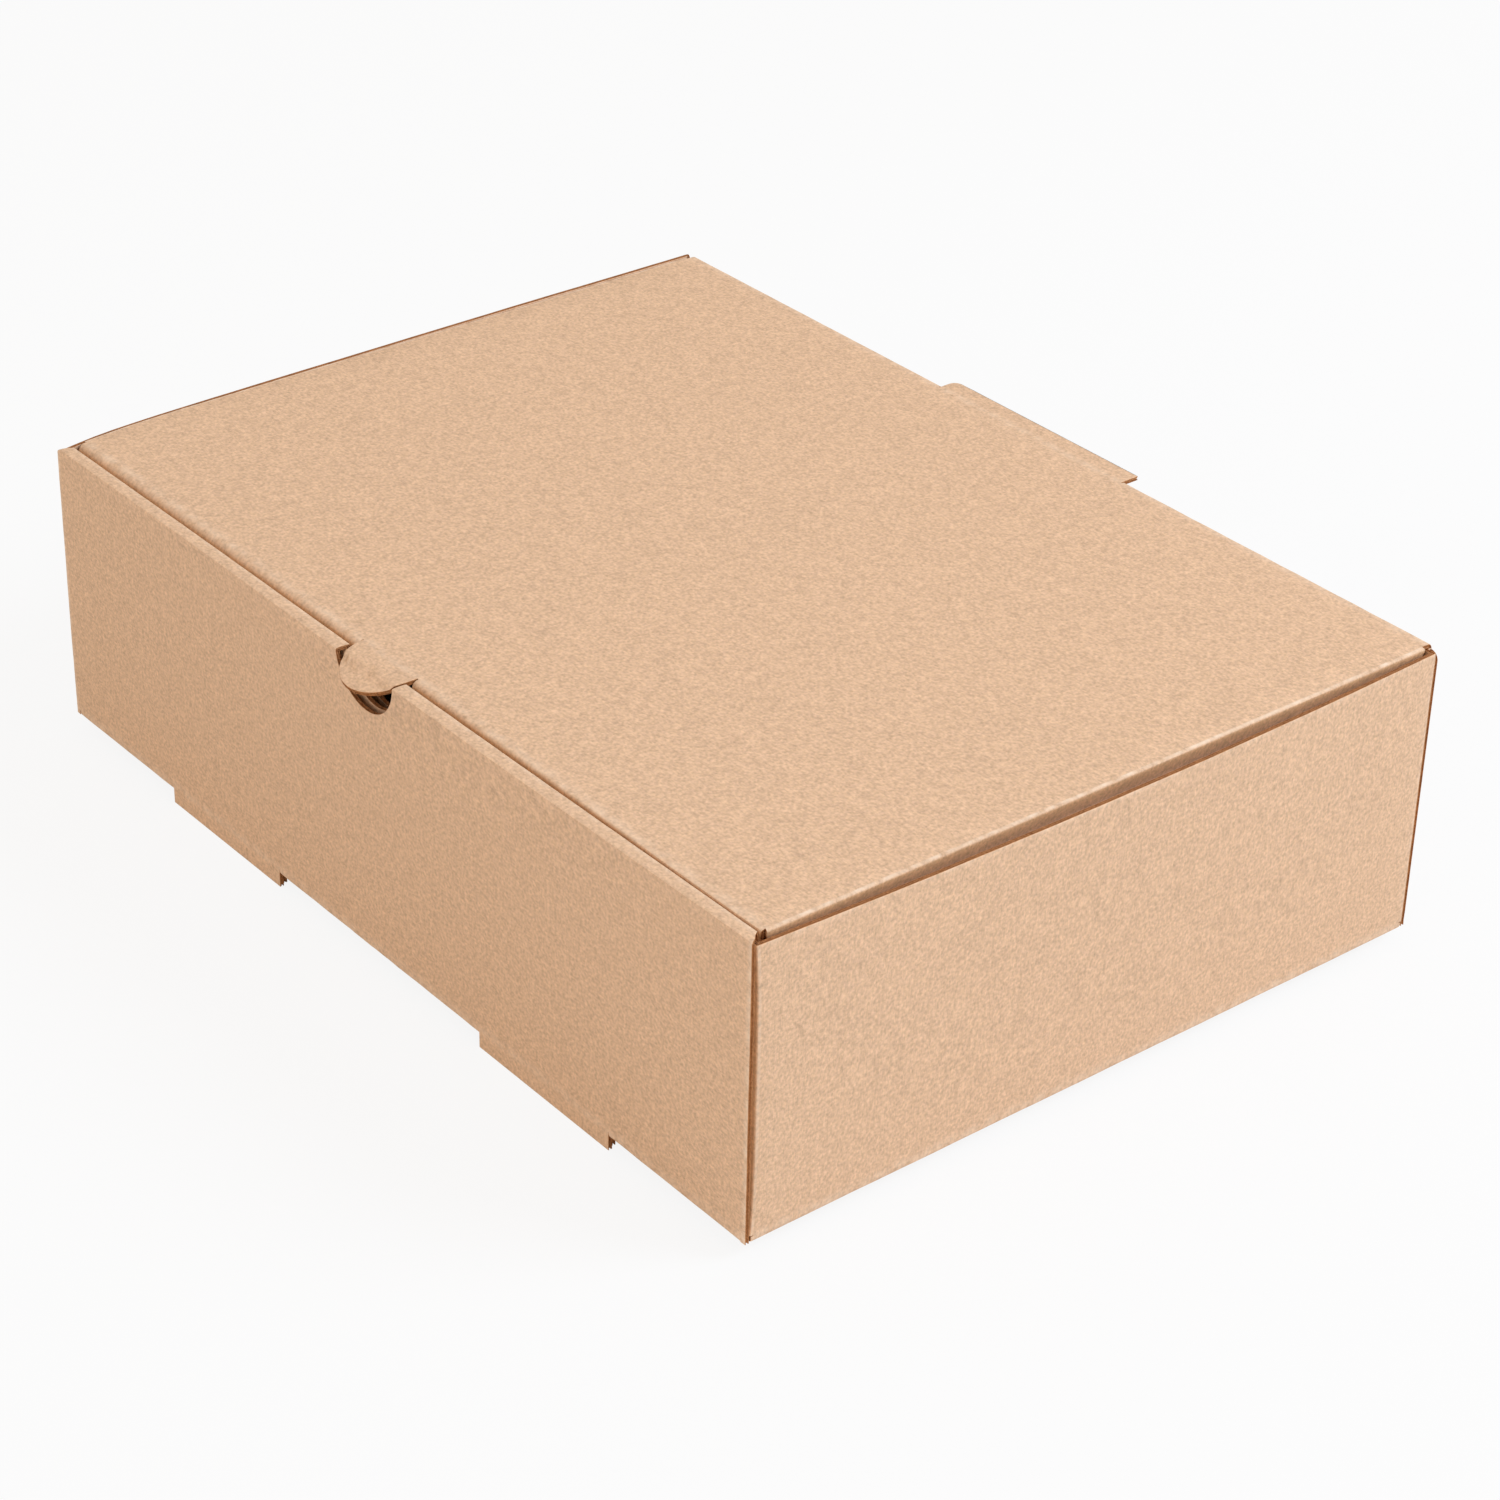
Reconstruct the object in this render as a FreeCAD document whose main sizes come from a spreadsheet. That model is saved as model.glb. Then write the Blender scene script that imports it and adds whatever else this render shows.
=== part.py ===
import FreeCAD, Part
import math
import os

import Sketcher

# A folding mailer box of corrugated board: one die-cut sheet, folded up and closed. X runs
# along the box, the front wall faces -Y, Z is up. The solids are drawn about the middle of the
# base's underside, and each body's Placement then moves them to the shared origin, which is the
# middle of the whole box's footprint at the height of its feet. The sheet parts at the crease
# between back wall and lid, the one fold that works once the box is closed.

# Driving sizes, in millimetres and degrees.
SIZES = {
    "box_width": 362.0,  # outside, across the two side walls
    "box_depth": 264.0,  # outside, front wall to back wall
    "wall_height": 100.0,  # underside of the base to the top of the front wall
    "board": 1.5,  # thickness of the corrugated board
    "fold_radius": 0.5,  # inside radius of every fold
    "layer_gap": 0.2,  # air between two layers of board
    "lid_gap": 0.3,  # air between the lid and the walls round it
    "side_drop": 1.8,  # side walls end this far below the front wall
    "side_bow": 3.0,  # outward bow of a side wall at the middle of its top edge
    "ear_length": 65.0,
    "ear_drop": 2.5,  # ears end this far below the top of the front wall
    "ear_corner": 8.0,
    "foot_width": 63.9,
    "foot_spacing": 173.2,  # middle of one foot to middle of the other
    "foot_depth": 4.8,  # below the base
    "lock_reach": 4.5,  # lock tabs, below the base
    "lock_clearance": 0.4,  # at each end of a lock tab
    "lock_taper": 0.8,
    "notch_radius": 15.0,
    "notch_depth": 14.2,
    "thumb_radius": 14.4,
    "thumb_reach": 13.2,
    "thumb_droop": 14.0,
    "cut_gap": 0.3,  # air along a die-cut line
    "hinge_tab_width": 89.0,
    "hinge_tab_reach": 5.5,  # beyond the back wall
    "hinge_tab_corner": 3.0,
    "hinge_slot_gap": 0.9,  # below the hinge tab's sweep
    "tuck_depth": 38.0,
    "tuck_lean": 6.0,
    "tuck_taper": 4.0,
    "tuck_corner": 12.0,
    "dust_depth": 42.0,
    "dust_front_inset": 1.6,
    "dust_back_inset": 4.5,
    "dust_taper": 9.0,
    "dust_corner": 6.0,
}

# Sizes that follow from them, as expressions.
FOLD = "(Sizes.fold_radius + Sizes.board)"  # outside radius of a fold
BEND = "(Sizes.fold_radius + Sizes.board / 2)"  # radius at the middle of the board
PITCH = "(Sizes.board + Sizes.layer_gap)"  # one layer of board and its air
SIDE = "(Sizes.box_width / 2)"  # outer face of a side wall
FACE = "(Sizes.box_depth / 2)"  # outer face of the front and back walls
TOP = "Sizes.wall_height"
SIDE_END = f"({FACE} - {PITCH} - {FOLD})"  # where a side wall starts to turn into an ear
BASE_END = f"({FACE} - {FOLD} - Sizes.layer_gap)"  # ends of the side walls' bottom folds
EAR_FOOT = f"({FOLD} + Sizes.layer_gap)"
INNER_FACE = f"({FACE} - 2 * {PITCH} - Sizes.board)"  # inside of the double front wall
LID_FRONT = f"({INNER_FACE} - Sizes.lid_gap)"
LID_SIDE = f"({SIDE} - Sizes.board - Sizes.lid_gap)"
LID_FLAT = f"({LID_SIDE} - {FOLD})"  # half the width of the lid's flat panel
HINGE = f"({TOP} - {FOLD})"  # height of the lid's crease

doc = FreeCAD.newDocument("folding_mailer_box")
sheet = doc.addObject("Spreadsheet::Sheet", "Sizes")
for row, (alias, number) in enumerate(SIZES.items(), 1):
    sheet.set(f"A{row}", alias)
    sheet.set(f"B{row}", str(number))
    sheet.setAlias(f"B{row}", alias)
doc.recompute()


def value(expression):
    """The number that an expression over the sheet gives now."""
    return float(sheet.evalExpression(expression))


def times(sign, expression):
    """The expression, turned round where the sign is -1."""
    return expression if sign > 0 else f"-({expression})"


def add_sketch(body, name, plane, height="0", tilt=None, shift=None):
    """A sketch on one of the body's origin planes, lifted along its normal."""
    sketch = body.newObject("Sketcher::SketchObject", name)
    support = next(f for f in body.Origin.OriginFeatures if f.Role == plane)
    sketch.AttachmentSupport = [(support, "")]
    sketch.MapMode = "FlatFace"
    sketch.setExpression(".AttachmentOffset.Base.z", height)
    if tilt:
        turned = FreeCAD.Rotation(FreeCAD.Vector(1, 0, 0), value(tilt))
        sketch.AttachmentOffset = FreeCAD.Placement(FreeCAD.Vector(), turned)
        sketch.setExpression(".AttachmentOffset.Rotation.Angle", tilt)
        sketch.setExpression(".AttachmentOffset.Base.y", shift)
    return sketch


def pin(sketch, geometry, end, place):
    """Ties one end of a line or arc to a place given by two expressions."""
    for kind, axis, expression in (("DistanceX", -2, place[0]), ("DistanceY", -1, place[1])):
        if expression == "0":
            sketch.addConstraint(Sketcher.Constraint("PointOnObject", geometry, end, axis))
            continue
        now = value(expression)
        made = sketch.addConstraint(Sketcher.Constraint(kind, -1, 1, geometry, end, now))
        sketch.setExpression(f"Constraints[{made}]", expression)


def arc_between(start, finish, radius, turn):
    """The shorter arc from start to finish, anticlockwise where turn is 1."""
    chord = finish - start
    across = FreeCAD.Vector(-chord.y, chord.x, 0).normalize() * turn
    centre = (start + finish) / 2 + across * math.sqrt(radius**2 - (chord.Length / 2) ** 2)
    circle = Part.Circle(centre, FreeCAD.Vector(0, 0, 1), radius)
    first, last = (start, finish) if turn > 0 else (finish, start)
    angles = [math.atan2(p.y - centre.y, p.x - centre.x) for p in (first, last)]
    return Part.ArcOfCircle(circle, *angles)


def draw(sketch, start, steps, closed=True):
    """Draws a chain of lines and arcs. A step (x, y) is a line to that place, and a step
    (x, y, radius, turn) an arc. A closed chain ends with a line back to its start."""
    places = [start] + [step[:2] for step in steps]
    points = [FreeCAD.Vector(value(x), value(y), 0) for x, y in places]
    steps = list(steps)
    if closed:
        steps.append(start)
        points.append(points[0])
    previous, first = None, None
    for index, step in enumerate(steps):
        begin, finish = 1, 2
        if len(step) == 2:
            made = sketch.addGeometry(Part.LineSegment(points[index], points[index + 1]))
        else:
            radius, turn = step[2:]
            made = sketch.addGeometry(arc_between(points[index], points[index + 1], value(radius), turn))
            bound = sketch.addConstraint(Sketcher.Constraint("Radius", made, value(radius)))
            sketch.setExpression(f"Constraints[{bound}]", radius)
            if turn < 0:
                begin, finish = 2, 1
        if previous is None:
            pin(sketch, made, begin, start)
            first = (made, begin)
        else:
            sketch.addConstraint(Sketcher.Constraint("Coincident", *previous, made, begin))
        if index == len(steps) - 1 and closed:
            sketch.addConstraint(Sketcher.Constraint("Coincident", made, finish, *first))
        else:
            pin(sketch, made, finish, step[:2])
        previous = (made, finish)


def rectangle(sketch, left, right, low, high):
    draw(sketch, (left, low), [(right, low), (right, high), (left, high)])


def fold(body, name, path, profile):
    """A strip of board: the profile carried along the folded path."""
    strip = body.newObject("PartDesign::AdditivePipe", name)
    strip.Profile = profile
    strip.Spine = path
    doc.recompute()
    return strip


def pad(body, name, sketch, length, reverse=False):
    made = body.newObject("PartDesign::Pad", name)
    made.Profile = sketch
    made.setExpression("Length", length)
    made.Reversed = reverse
    doc.recompute()
    return made


def cut(body, name, sketch, length, reverse=False, midplane=False):
    """A pocket, checked to take board away."""
    before = body.Shape.Volume
    made = body.newObject("PartDesign::Pocket", name)
    made.Profile = sketch
    made.setExpression("Length", length)
    made.Reversed = reverse
    made.Midplane = midplane
    doc.recompute()
    if body.Shape.Volume >= before:
        raise RuntimeError(f"{name} cuts nothing")
    return made


def round_corners(body, name, radius, wanted):
    """Rounds the short edges through the board that the test picks out."""
    base = body.Tip
    board = value("Sizes.board")
    names = []
    for number, edge in enumerate(base.Shape.Edges, 1):
        if abs(edge.Length - board) < 1e-3 and wanted(edge.CenterOfMass):
            names.append(f"Edge{number}")
    made = body.newObject("PartDesign::Fillet", name)
    made.Base = (base, names)
    made.setExpression("Radius", radius)
    doc.recompute()


def new_body(name):
    body = doc.addObject("PartDesign::Body", name)
    body.Label = name
    tip = f"{LID_FRONT} + Sizes.thumb_reach * cos(Sizes.thumb_droop * 1 deg)"
    heel = f"{FACE} + Sizes.hinge_tab_reach"
    body.setExpression(".Placement.Base.y", f"({tip} - ({heel})) / 2")
    body.setExpression(".Placement.Base.z", "Sizes.foot_depth")
    return body


def front_and_back(body):
    """Back wall, base and the rolled-over front wall: one strip with four folds."""
    wall = f"{FACE} - Sizes.board / 2"
    inner = f"({FACE} - Sizes.board / 2 - 2 * {PITCH})"
    path = add_sketch(body, "front_to_back_path", "YZ_Plane")
    draw(
        path,
        (wall, f"{HINGE} - Sizes.lid_gap"),
        [
            (wall, FOLD),
            (f"{FACE} - {FOLD}", "Sizes.board / 2", BEND, -1),
            (f"-({FACE} - {FOLD})", "Sizes.board / 2"),
            (f"-({wall})", FOLD, BEND, -1),
            (f"-({wall})", HINGE),
            (f"-({FACE} - {FOLD})", f"{TOP} - Sizes.board / 2", BEND, -1),
            (f"-({inner} + {BEND})", f"{TOP} - Sizes.board / 2"),
            (f"-{inner}", HINGE, BEND, -1),
            (f"-{inner}", PITCH),
        ],
        closed=False,
    )
    end = add_sketch(body, "back_wall_top", "XY_Plane", f"{HINGE} - Sizes.lid_gap")
    rectangle(end, f"-{SIDE}", SIDE, f"{FACE} - Sizes.board", FACE)
    fold(body, "front_to_back_strip", path, end)


def free_the_corners(body):
    """Trims base and inner panel between the side folds."""
    trim = add_sketch(body, "corner_cuts", "XY_Plane")
    for sign in (-1, 1):
        near = times(sign, f"{SIDE} - {FOLD}")
        far = times(sign, SIDE)
        rectangle(trim, near, far, f"-{BASE_END}", BASE_END)
    cut(body, "corner_relief", trim, TOP, reverse=True)


def side_walls(body):
    """Bottom folds along both sides, and the two walls bowed out towards their tops."""
    wall = f"{SIDE} - Sizes.board / 2"
    path = add_sketch(body, "side_to_side_path", "XZ_Plane")
    draw(
        path,
        (f"-({wall})", FOLD),
        [
            (f"-({SIDE} - {FOLD})", "Sizes.board / 2", BEND, 1),
            (f"{SIDE} - {FOLD}", "Sizes.board / 2"),
            (wall, FOLD, BEND, 1),
        ],
        closed=False,
    )
    end = add_sketch(body, "side_fold_end", "XY_Plane", FOLD)
    rectangle(end, f"-{SIDE}", f"-({SIDE} - Sizes.board)", f"-{BASE_END}", BASE_END)
    fold(body, "side_to_side_strip", path, end)

    bow = f"(({SIDE_END} ^ 2 + Sizes.side_bow ^ 2) / (2 * Sizes.side_bow))"
    for sign, side in ((-1, "left"), (1, "right")):
        outside = times(sign, SIDE)
        inside = times(sign, f"{SIDE} - Sizes.board")
        foot = add_sketch(body, f"{side}_wall_foot", "XY_Plane", FOLD)
        draw(foot, (outside, f"-{SIDE_END}"), [(outside, SIDE_END), (inside, SIDE_END), (inside, f"-{SIDE_END}")])
        rim = add_sketch(body, f"{side}_wall_rim", "XY_Plane", f"{TOP} - Sizes.side_drop")
        draw(
            rim,
            (outside, f"-{SIDE_END}"),
            [(outside, SIDE_END, bow, sign), (inside, SIDE_END), (inside, f"-{SIDE_END}", bow, -sign)],
        )
        wall = body.newObject("PartDesign::AdditiveLoft", f"{side}_wall")
        wall.Profile = foot
        wall.Sections = [rim]
        wall.Ruled = True
        doc.recompute()


def ears(body):
    """The side walls' ends, turned in behind the front and back walls."""
    plan = add_sketch(body, "ear_plan", "XY_Plane", EAR_FOOT)
    outer = f"{SIDE_END} + {FOLD}"
    inner = f"{SIDE_END} + Sizes.fold_radius"
    tip = f"{SIDE} - {FOLD} - Sizes.ear_length"
    for x_sign in (-1, 1):
        for y_sign in (-1, 1):
            turn = x_sign * y_sign

            def corner(x, y):
                return times(x_sign, x), times(y_sign, y)

            draw(
                plan,
                corner(SIDE, SIDE_END),
                [
                    (*corner(f"{SIDE} - {FOLD}", outer), FOLD, turn),
                    corner(tip, outer),
                    corner(tip, inner),
                    corner(f"{SIDE} - {FOLD}", inner),
                    (*corner(f"{SIDE} - Sizes.board", SIDE_END), "Sizes.fold_radius", -turn),
                ],
            )
    pad(body, "ears", plan, f"{TOP} - Sizes.ear_drop - {EAR_FOOT}")
    ear_end = value(tip)
    round_corners(body, "ear_corners", "Sizes.ear_corner", lambda at: abs(abs(at.x) - ear_end) < 1e-4)


def thumb_notch(body):
    """A round notch down through both layers of the front wall."""
    ring = add_sketch(body, "notch_circle", "XZ_Plane", FACE)
    middle = f"{TOP} - Sizes.notch_depth + Sizes.notch_radius"
    made = ring.addGeometry(
        Part.Circle(FreeCAD.Vector(0, value(middle), 0), FreeCAD.Vector(0, 0, 1), value("Sizes.notch_radius"))
    )
    pin(ring, made, 3, ("0", middle))
    bound = ring.addConstraint(Sketcher.Constraint("Radius", made, value("Sizes.notch_radius")))
    ring.setExpression(f"Constraints[{bound}]", "Sizes.notch_radius")
    cut(body, "thumb_notch", ring, f"{FACE} - {INNER_FACE}")


def feet_and_locks(body):
    """U-cuts leave two feet in the front wall's plane, and slots behind them in the base,
    which take the lock tabs on the inner panel's lower edge."""
    slots = add_sketch(body, "slot_plan", "XY_Plane")
    feet = add_sketch(body, "foot_outline", "XZ_Plane", FACE)
    locks = add_sketch(body, "lock_outline", "XZ_Plane", f"{FACE} - 2 * {PITCH}")
    half_lock = "(Sizes.foot_width / 2 - Sizes.lock_clearance)"
    for sign in (-1, 1):
        middle = times(sign, "Sizes.foot_spacing / 2")
        left, right = (f"{middle} - Sizes.foot_width / 2", f"{middle} + Sizes.foot_width / 2")
        rectangle(slots, left, right, f"-{FACE}", f"-({FACE} - {FOLD} - Sizes.foot_depth)")
        rectangle(feet, left, right, "-Sizes.foot_depth", FOLD)
        draw(
            locks,
            (f"{middle} - {half_lock} + Sizes.lock_taper", "-Sizes.lock_reach"),
            [
                (f"{middle} + {half_lock} - Sizes.lock_taper", "-Sizes.lock_reach"),
                (f"{middle} + {half_lock}", FOLD),
                (f"{middle} - {half_lock}", FOLD),
            ],
        )
    cut(body, "base_slots", slots, FOLD, reverse=True)
    pad(body, "feet", feet, "Sizes.board", reverse=True)
    pad(body, "lock_tabs", locks, "Sizes.board", reverse=True)


def hinge_slot(body):
    """The slot that the hinge tab was cut from, at the top of the back wall."""
    half = "(Sizes.hinge_tab_width / 2 + Sizes.cut_gap)"
    floor = f"{HINGE} - Sizes.hinge_tab_reach - Sizes.hinge_slot_gap"
    outline = add_sketch(body, "hinge_slot_outline", "XZ_Plane", f"-{FACE}")
    draw(
        outline,
        (half, TOP),
        [
            (f"-{half}", TOP),
            (f"-{half}", f"{floor} + Sizes.hinge_tab_corner"),
            (f"-({half} - Sizes.hinge_tab_corner)", floor, "Sizes.hinge_tab_corner", 1),
            (half, floor),
        ],
    )
    cut(body, "hinge_slot", outline, "Sizes.board", reverse=True)


def make_tray():
    body = new_body("tray")
    front_and_back(body)
    free_the_corners(body)
    side_walls(body)
    ears(body)
    thumb_notch(body)
    feet_and_locks(body)
    hinge_slot(body)
    return body


def dust_flaps(body):
    """The lid's side-to-side strip: one flap, the panel and the other flap."""
    flap = f"({LID_SIDE} - Sizes.board / 2)"
    edge = f"{TOP} - Sizes.dust_depth"
    front = f"(Sizes.dust_front_inset - {LID_FRONT})"
    back = f"({FACE} - Sizes.dust_back_inset)"
    path = add_sketch(body, "dust_flap_path", "XZ_Plane")
    draw(
        path,
        (f"-{flap}", edge),
        [
            (f"-{flap}", HINGE),
            (f"-{LID_FLAT}", f"{TOP} - Sizes.board / 2", BEND, -1),
            (LID_FLAT, f"{TOP} - Sizes.board / 2"),
            (flap, HINGE, BEND, -1),
            (flap, edge),
        ],
        closed=False,
    )
    end = add_sketch(body, "dust_flap_edge", "XY_Plane", edge)
    rectangle(end, f"-{LID_SIDE}", f"-({LID_SIDE} - Sizes.board)", front, back)
    fold(body, "dust_flap_strip", path, end)

    tapers = add_sketch(body, "dust_flap_tapers", "YZ_Plane")
    for sign, limit in ((1, front), (-1, back)):
        slant = f"{limit} + {sign} * Sizes.dust_taper"
        draw(tapers, (limit, HINGE), [(slant, edge), (limit, edge)])
    cut(body, "dust_flap_ends", tapers, "Sizes.box_width", midplane=True)
    low = value(edge)
    round_corners(body, "dust_flap_corners", "Sizes.dust_corner", lambda at: abs(at.z - low) < 1e-4)


def panel_and_tuck(body):
    """The lid's front-to-back strip: from the crease over the panel down the tuck flap,
    which leans in so that it clears the front wall as the lid swings."""
    lean = "(Sizes.tuck_lean * 1 deg)"
    turn_in = f"({LID_FRONT} - {FOLD})"
    arc_end = (f"-({turn_in} + {BEND} * cos({lean}))", f"{HINGE} - {BEND} * sin({lean})")
    drop = f"(Sizes.tuck_depth - {FOLD} - {BEND} * sin({lean}))"
    path = add_sketch(body, "panel_path", "YZ_Plane")
    draw(
        path,
        (f"{FACE} - Sizes.board / 2", HINGE),
        [
            (f"{FACE} - {FOLD}", f"{TOP} - Sizes.board / 2", BEND, 1),
            (f"-{turn_in}", f"{TOP} - Sizes.board / 2"),
            (*arc_end, BEND, 1),
            (f"{arc_end[0]} + {drop} * tan({lean})", f"{arc_end[1]} - {drop}"),
        ],
        closed=False,
    )
    end = add_sketch(body, "crease_edge", "XY_Plane", HINGE)
    rectangle(end, f"-{LID_FLAT}", LID_FLAT, f"{FACE} - Sizes.board", FACE)
    fold(body, "panel_strip", path, end)

    low = f"{TOP} - Sizes.tuck_depth"
    ends = add_sketch(body, "tuck_flap_ends", "XZ_Plane", LID_FRONT)
    for sign in (-1, 1):
        wide = times(sign, LID_FLAT)
        narrow = times(sign, f"{LID_FLAT} - Sizes.tuck_taper")
        draw(ends, (wide, HINGE), [(narrow, f"{low} - Sizes.board"), (wide, f"{low} - Sizes.board")])
    cut(body, "tuck_flap_taper", ends, "Sizes.tuck_depth")
    foot = value(low)
    round_corners(body, "tuck_flap_corners", "Sizes.tuck_corner", lambda at: abs(at.z - foot) < 1e-3)


def thumb_tab(body):
    """The thumb tab, cut out of the tuck flap. It springs down a little past the fold."""
    half = "sqrt(Sizes.thumb_reach * (2 * Sizes.thumb_radius - Sizes.thumb_reach))"
    ring = add_sketch(body, "thumb_cut_outline", "XZ_Plane", LID_FRONT)
    radius = "(Sizes.thumb_radius + Sizes.cut_gap)"
    middle = f"{TOP} - Sizes.thumb_reach + Sizes.thumb_radius"
    made = ring.addGeometry(
        Part.Circle(FreeCAD.Vector(0, value(middle), 0), FreeCAD.Vector(0, 0, 1), value(radius))
    )
    pin(ring, made, 3, ("0", middle))
    bound = ring.addConstraint(Sketcher.Constraint("Radius", made, value(radius)))
    ring.setExpression(f"Constraints[{bound}]", radius)
    depth = f"({FOLD} + Sizes.thumb_reach * tan(Sizes.tuck_lean * 1 deg))"
    cut(body, "thumb_cut", ring, depth)

    root = add_sketch(body, "thumb_root_plan", "XY_Plane", TOP)
    rectangle(root, f"-{half}", half, f"-{LID_FRONT}", f"{depth} - {LID_FRONT} + Sizes.board")
    pad(body, "thumb_root", root, "Sizes.board", reverse=True)

    tab = add_sketch(
        body, "thumb_tab_plan", "XY_Plane", TOP, tilt="Sizes.thumb_droop", shift=f"-{LID_FRONT}"
    )
    draw(tab, (f"-{half}", "0"), [(half, "0", "Sizes.thumb_radius", 1)])
    pad(body, "thumb_tab", tab, "Sizes.board", reverse=True)


def hinge_tab(body):
    """The tab along the crease: the fold stops there and the panel runs on past the wall."""
    half = "(Sizes.hinge_tab_width / 2)"
    gap = add_sketch(body, "crease_gap_plan", "XY_Plane", TOP)
    rectangle(
        gap, f"-({half} + Sizes.cut_gap)", f"{half} + Sizes.cut_gap", f"{FACE} - {FOLD}", FACE
    )
    cut(body, "crease_gap", gap, FOLD)

    heel = f"{FACE} + Sizes.hinge_tab_reach"
    root = f"{FACE} - {FOLD} - Sizes.board"
    plan = add_sketch(body, "hinge_tab_plan", "XY_Plane", TOP)
    draw(
        plan,
        (half, root),
        [
            (half, heel),
            (f"-({half} - Sizes.hinge_tab_corner)", heel),
            (f"-{half}", f"{heel} - Sizes.hinge_tab_corner", "Sizes.hinge_tab_corner", 1),
            (f"-{half}", root),
        ],
    )
    pad(body, "hinge_tab", plan, "Sizes.board", reverse=True)


def make_lid():
    body = new_body("lid")
    dust_flaps(body)
    panel_and_tuck(body)
    thumb_tab(body)
    hinge_tab(body)
    return body


def check_model():
    for item in doc.Objects:
        if {"Invalid", "Error"} & set(item.State):
            raise RuntimeError(f"{item.Name} failed: {item.State}")


parts = [make_tray(), make_lid()]
doc.recompute()
check_model()
for part in parts:
    shape = part.Shape
    if shape.isNull() or not shape.isValid() or len(shape.Solids) != 1:
        raise RuntimeError(f"{part.Label} is not one valid solid")

os.makedirs("parts", exist_ok=True)
for part in parts:
    part.Shape.exportStep(f"parts/{part.Label}.step")
    box = part.Shape.BoundBox
    print(part.Label, f"{part.Shape.Volume:.0f} mm3", f"{box.XLength:.2f} x {box.YLength:.2f} x {box.ZLength:.2f}")
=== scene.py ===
"""A flat shipping box in brown corrugated board: a folded tray, and the lid hinged along its back wall.

Lengths are millimetres in the box's own frame: its origin is the middle of the bottom face, +X is to the
right and +Y to the back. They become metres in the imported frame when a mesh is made.
"""

import bpy
import numpy as np
from mathutils import Matrix, Vector


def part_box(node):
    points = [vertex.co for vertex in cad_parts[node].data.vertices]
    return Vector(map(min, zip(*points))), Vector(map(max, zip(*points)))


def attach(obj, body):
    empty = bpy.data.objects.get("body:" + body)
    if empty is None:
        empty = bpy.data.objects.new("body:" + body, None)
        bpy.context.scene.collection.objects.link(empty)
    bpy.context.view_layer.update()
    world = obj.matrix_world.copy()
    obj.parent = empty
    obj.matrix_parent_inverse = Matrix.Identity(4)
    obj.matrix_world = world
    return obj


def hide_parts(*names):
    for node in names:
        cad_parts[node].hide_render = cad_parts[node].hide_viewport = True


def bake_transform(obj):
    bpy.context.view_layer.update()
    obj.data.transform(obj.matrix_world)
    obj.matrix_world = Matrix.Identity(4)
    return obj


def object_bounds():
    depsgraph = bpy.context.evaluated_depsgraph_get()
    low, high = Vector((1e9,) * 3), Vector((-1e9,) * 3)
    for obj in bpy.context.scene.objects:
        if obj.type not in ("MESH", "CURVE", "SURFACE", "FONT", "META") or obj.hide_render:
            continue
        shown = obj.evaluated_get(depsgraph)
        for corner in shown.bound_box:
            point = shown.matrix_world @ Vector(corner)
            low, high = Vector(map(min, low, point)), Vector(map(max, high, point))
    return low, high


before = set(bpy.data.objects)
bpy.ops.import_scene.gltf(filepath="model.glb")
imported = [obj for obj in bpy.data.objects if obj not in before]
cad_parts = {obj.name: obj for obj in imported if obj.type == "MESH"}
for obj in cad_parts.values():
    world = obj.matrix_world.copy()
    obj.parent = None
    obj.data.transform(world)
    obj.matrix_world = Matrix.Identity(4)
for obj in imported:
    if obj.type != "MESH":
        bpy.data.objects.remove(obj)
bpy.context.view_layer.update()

MM = 0.001  # metres in a millimetre

# Board
BOARD = 1.5  # thickness
HALF = BOARD / 2
LINER = 0.28  # paper on each face
FOLD = 2.0  # outer radius of a fold
BEND = FOLD - HALF  # radius of the board's middle at a fold
CRISP_BEND = 0.8  # and at the sharper folds of the rolled top and the lid's front
SHARP_BEND = 0.45  # and at the lid's sides and the tray's upright corners
BASE_CRUSH = 0.45  # how far a crushed fold's middle comes out towards its corner: round the base,
ROLL_CRUSH = 0.38  # at the rolled top,
SHARP_CRUSH = 0.27  # at the lid's sides
EAR_CRUSH = 0.35  # and at the tray's upright corners
CROWN_HIGHLIGHT = 2.0  # how strong a painted highlight the crown of a fold beside a gap gets
# wear of the rolled top's folds, and the painted highlight on the crown of its inner fold
ROLL_WEAR, ROLL_CROWN_HIGHLIGHT = 0.15, 1.0
CROWN_ANGLE, CROWN_WIDTH = 25.0, 22.0  # where that painted highlight sits: degrees into the fold, and over how many
CROWN_END = 0.5  # how far beyond the fold its crown's painted highlight may reach
WEAR_FADE = 1.6  # how far beyond a fold its wear fades away
WORN_TURN = 30.0  # a run that turns further than this wears as a fold does
GAP_ANGLE, GAP_TURN = 50.0, 25.0  # where the fold goes out of sight into the gap and its painted shade begins, and within how many degrees
GAP_DEPTH = 4.0  # how far beyond the fold the painted shade of the gap darkens the board
LAYER_GAP = 0.2  # between two layers that lie together
LID_GAP = 0.3  # between the lid's tuck flap and the front wall
DUST_GAP = 0.7  # between its dust flaps and the side walls
FLUTE_PITCH = 3.3
FLUTE_PAPER = 0.17
CUT_BEVEL = 0.25  # how far a cut edge of the paper is rounded
CUT_DEPTH = 0.4  # how deep one sees between the papers

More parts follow.
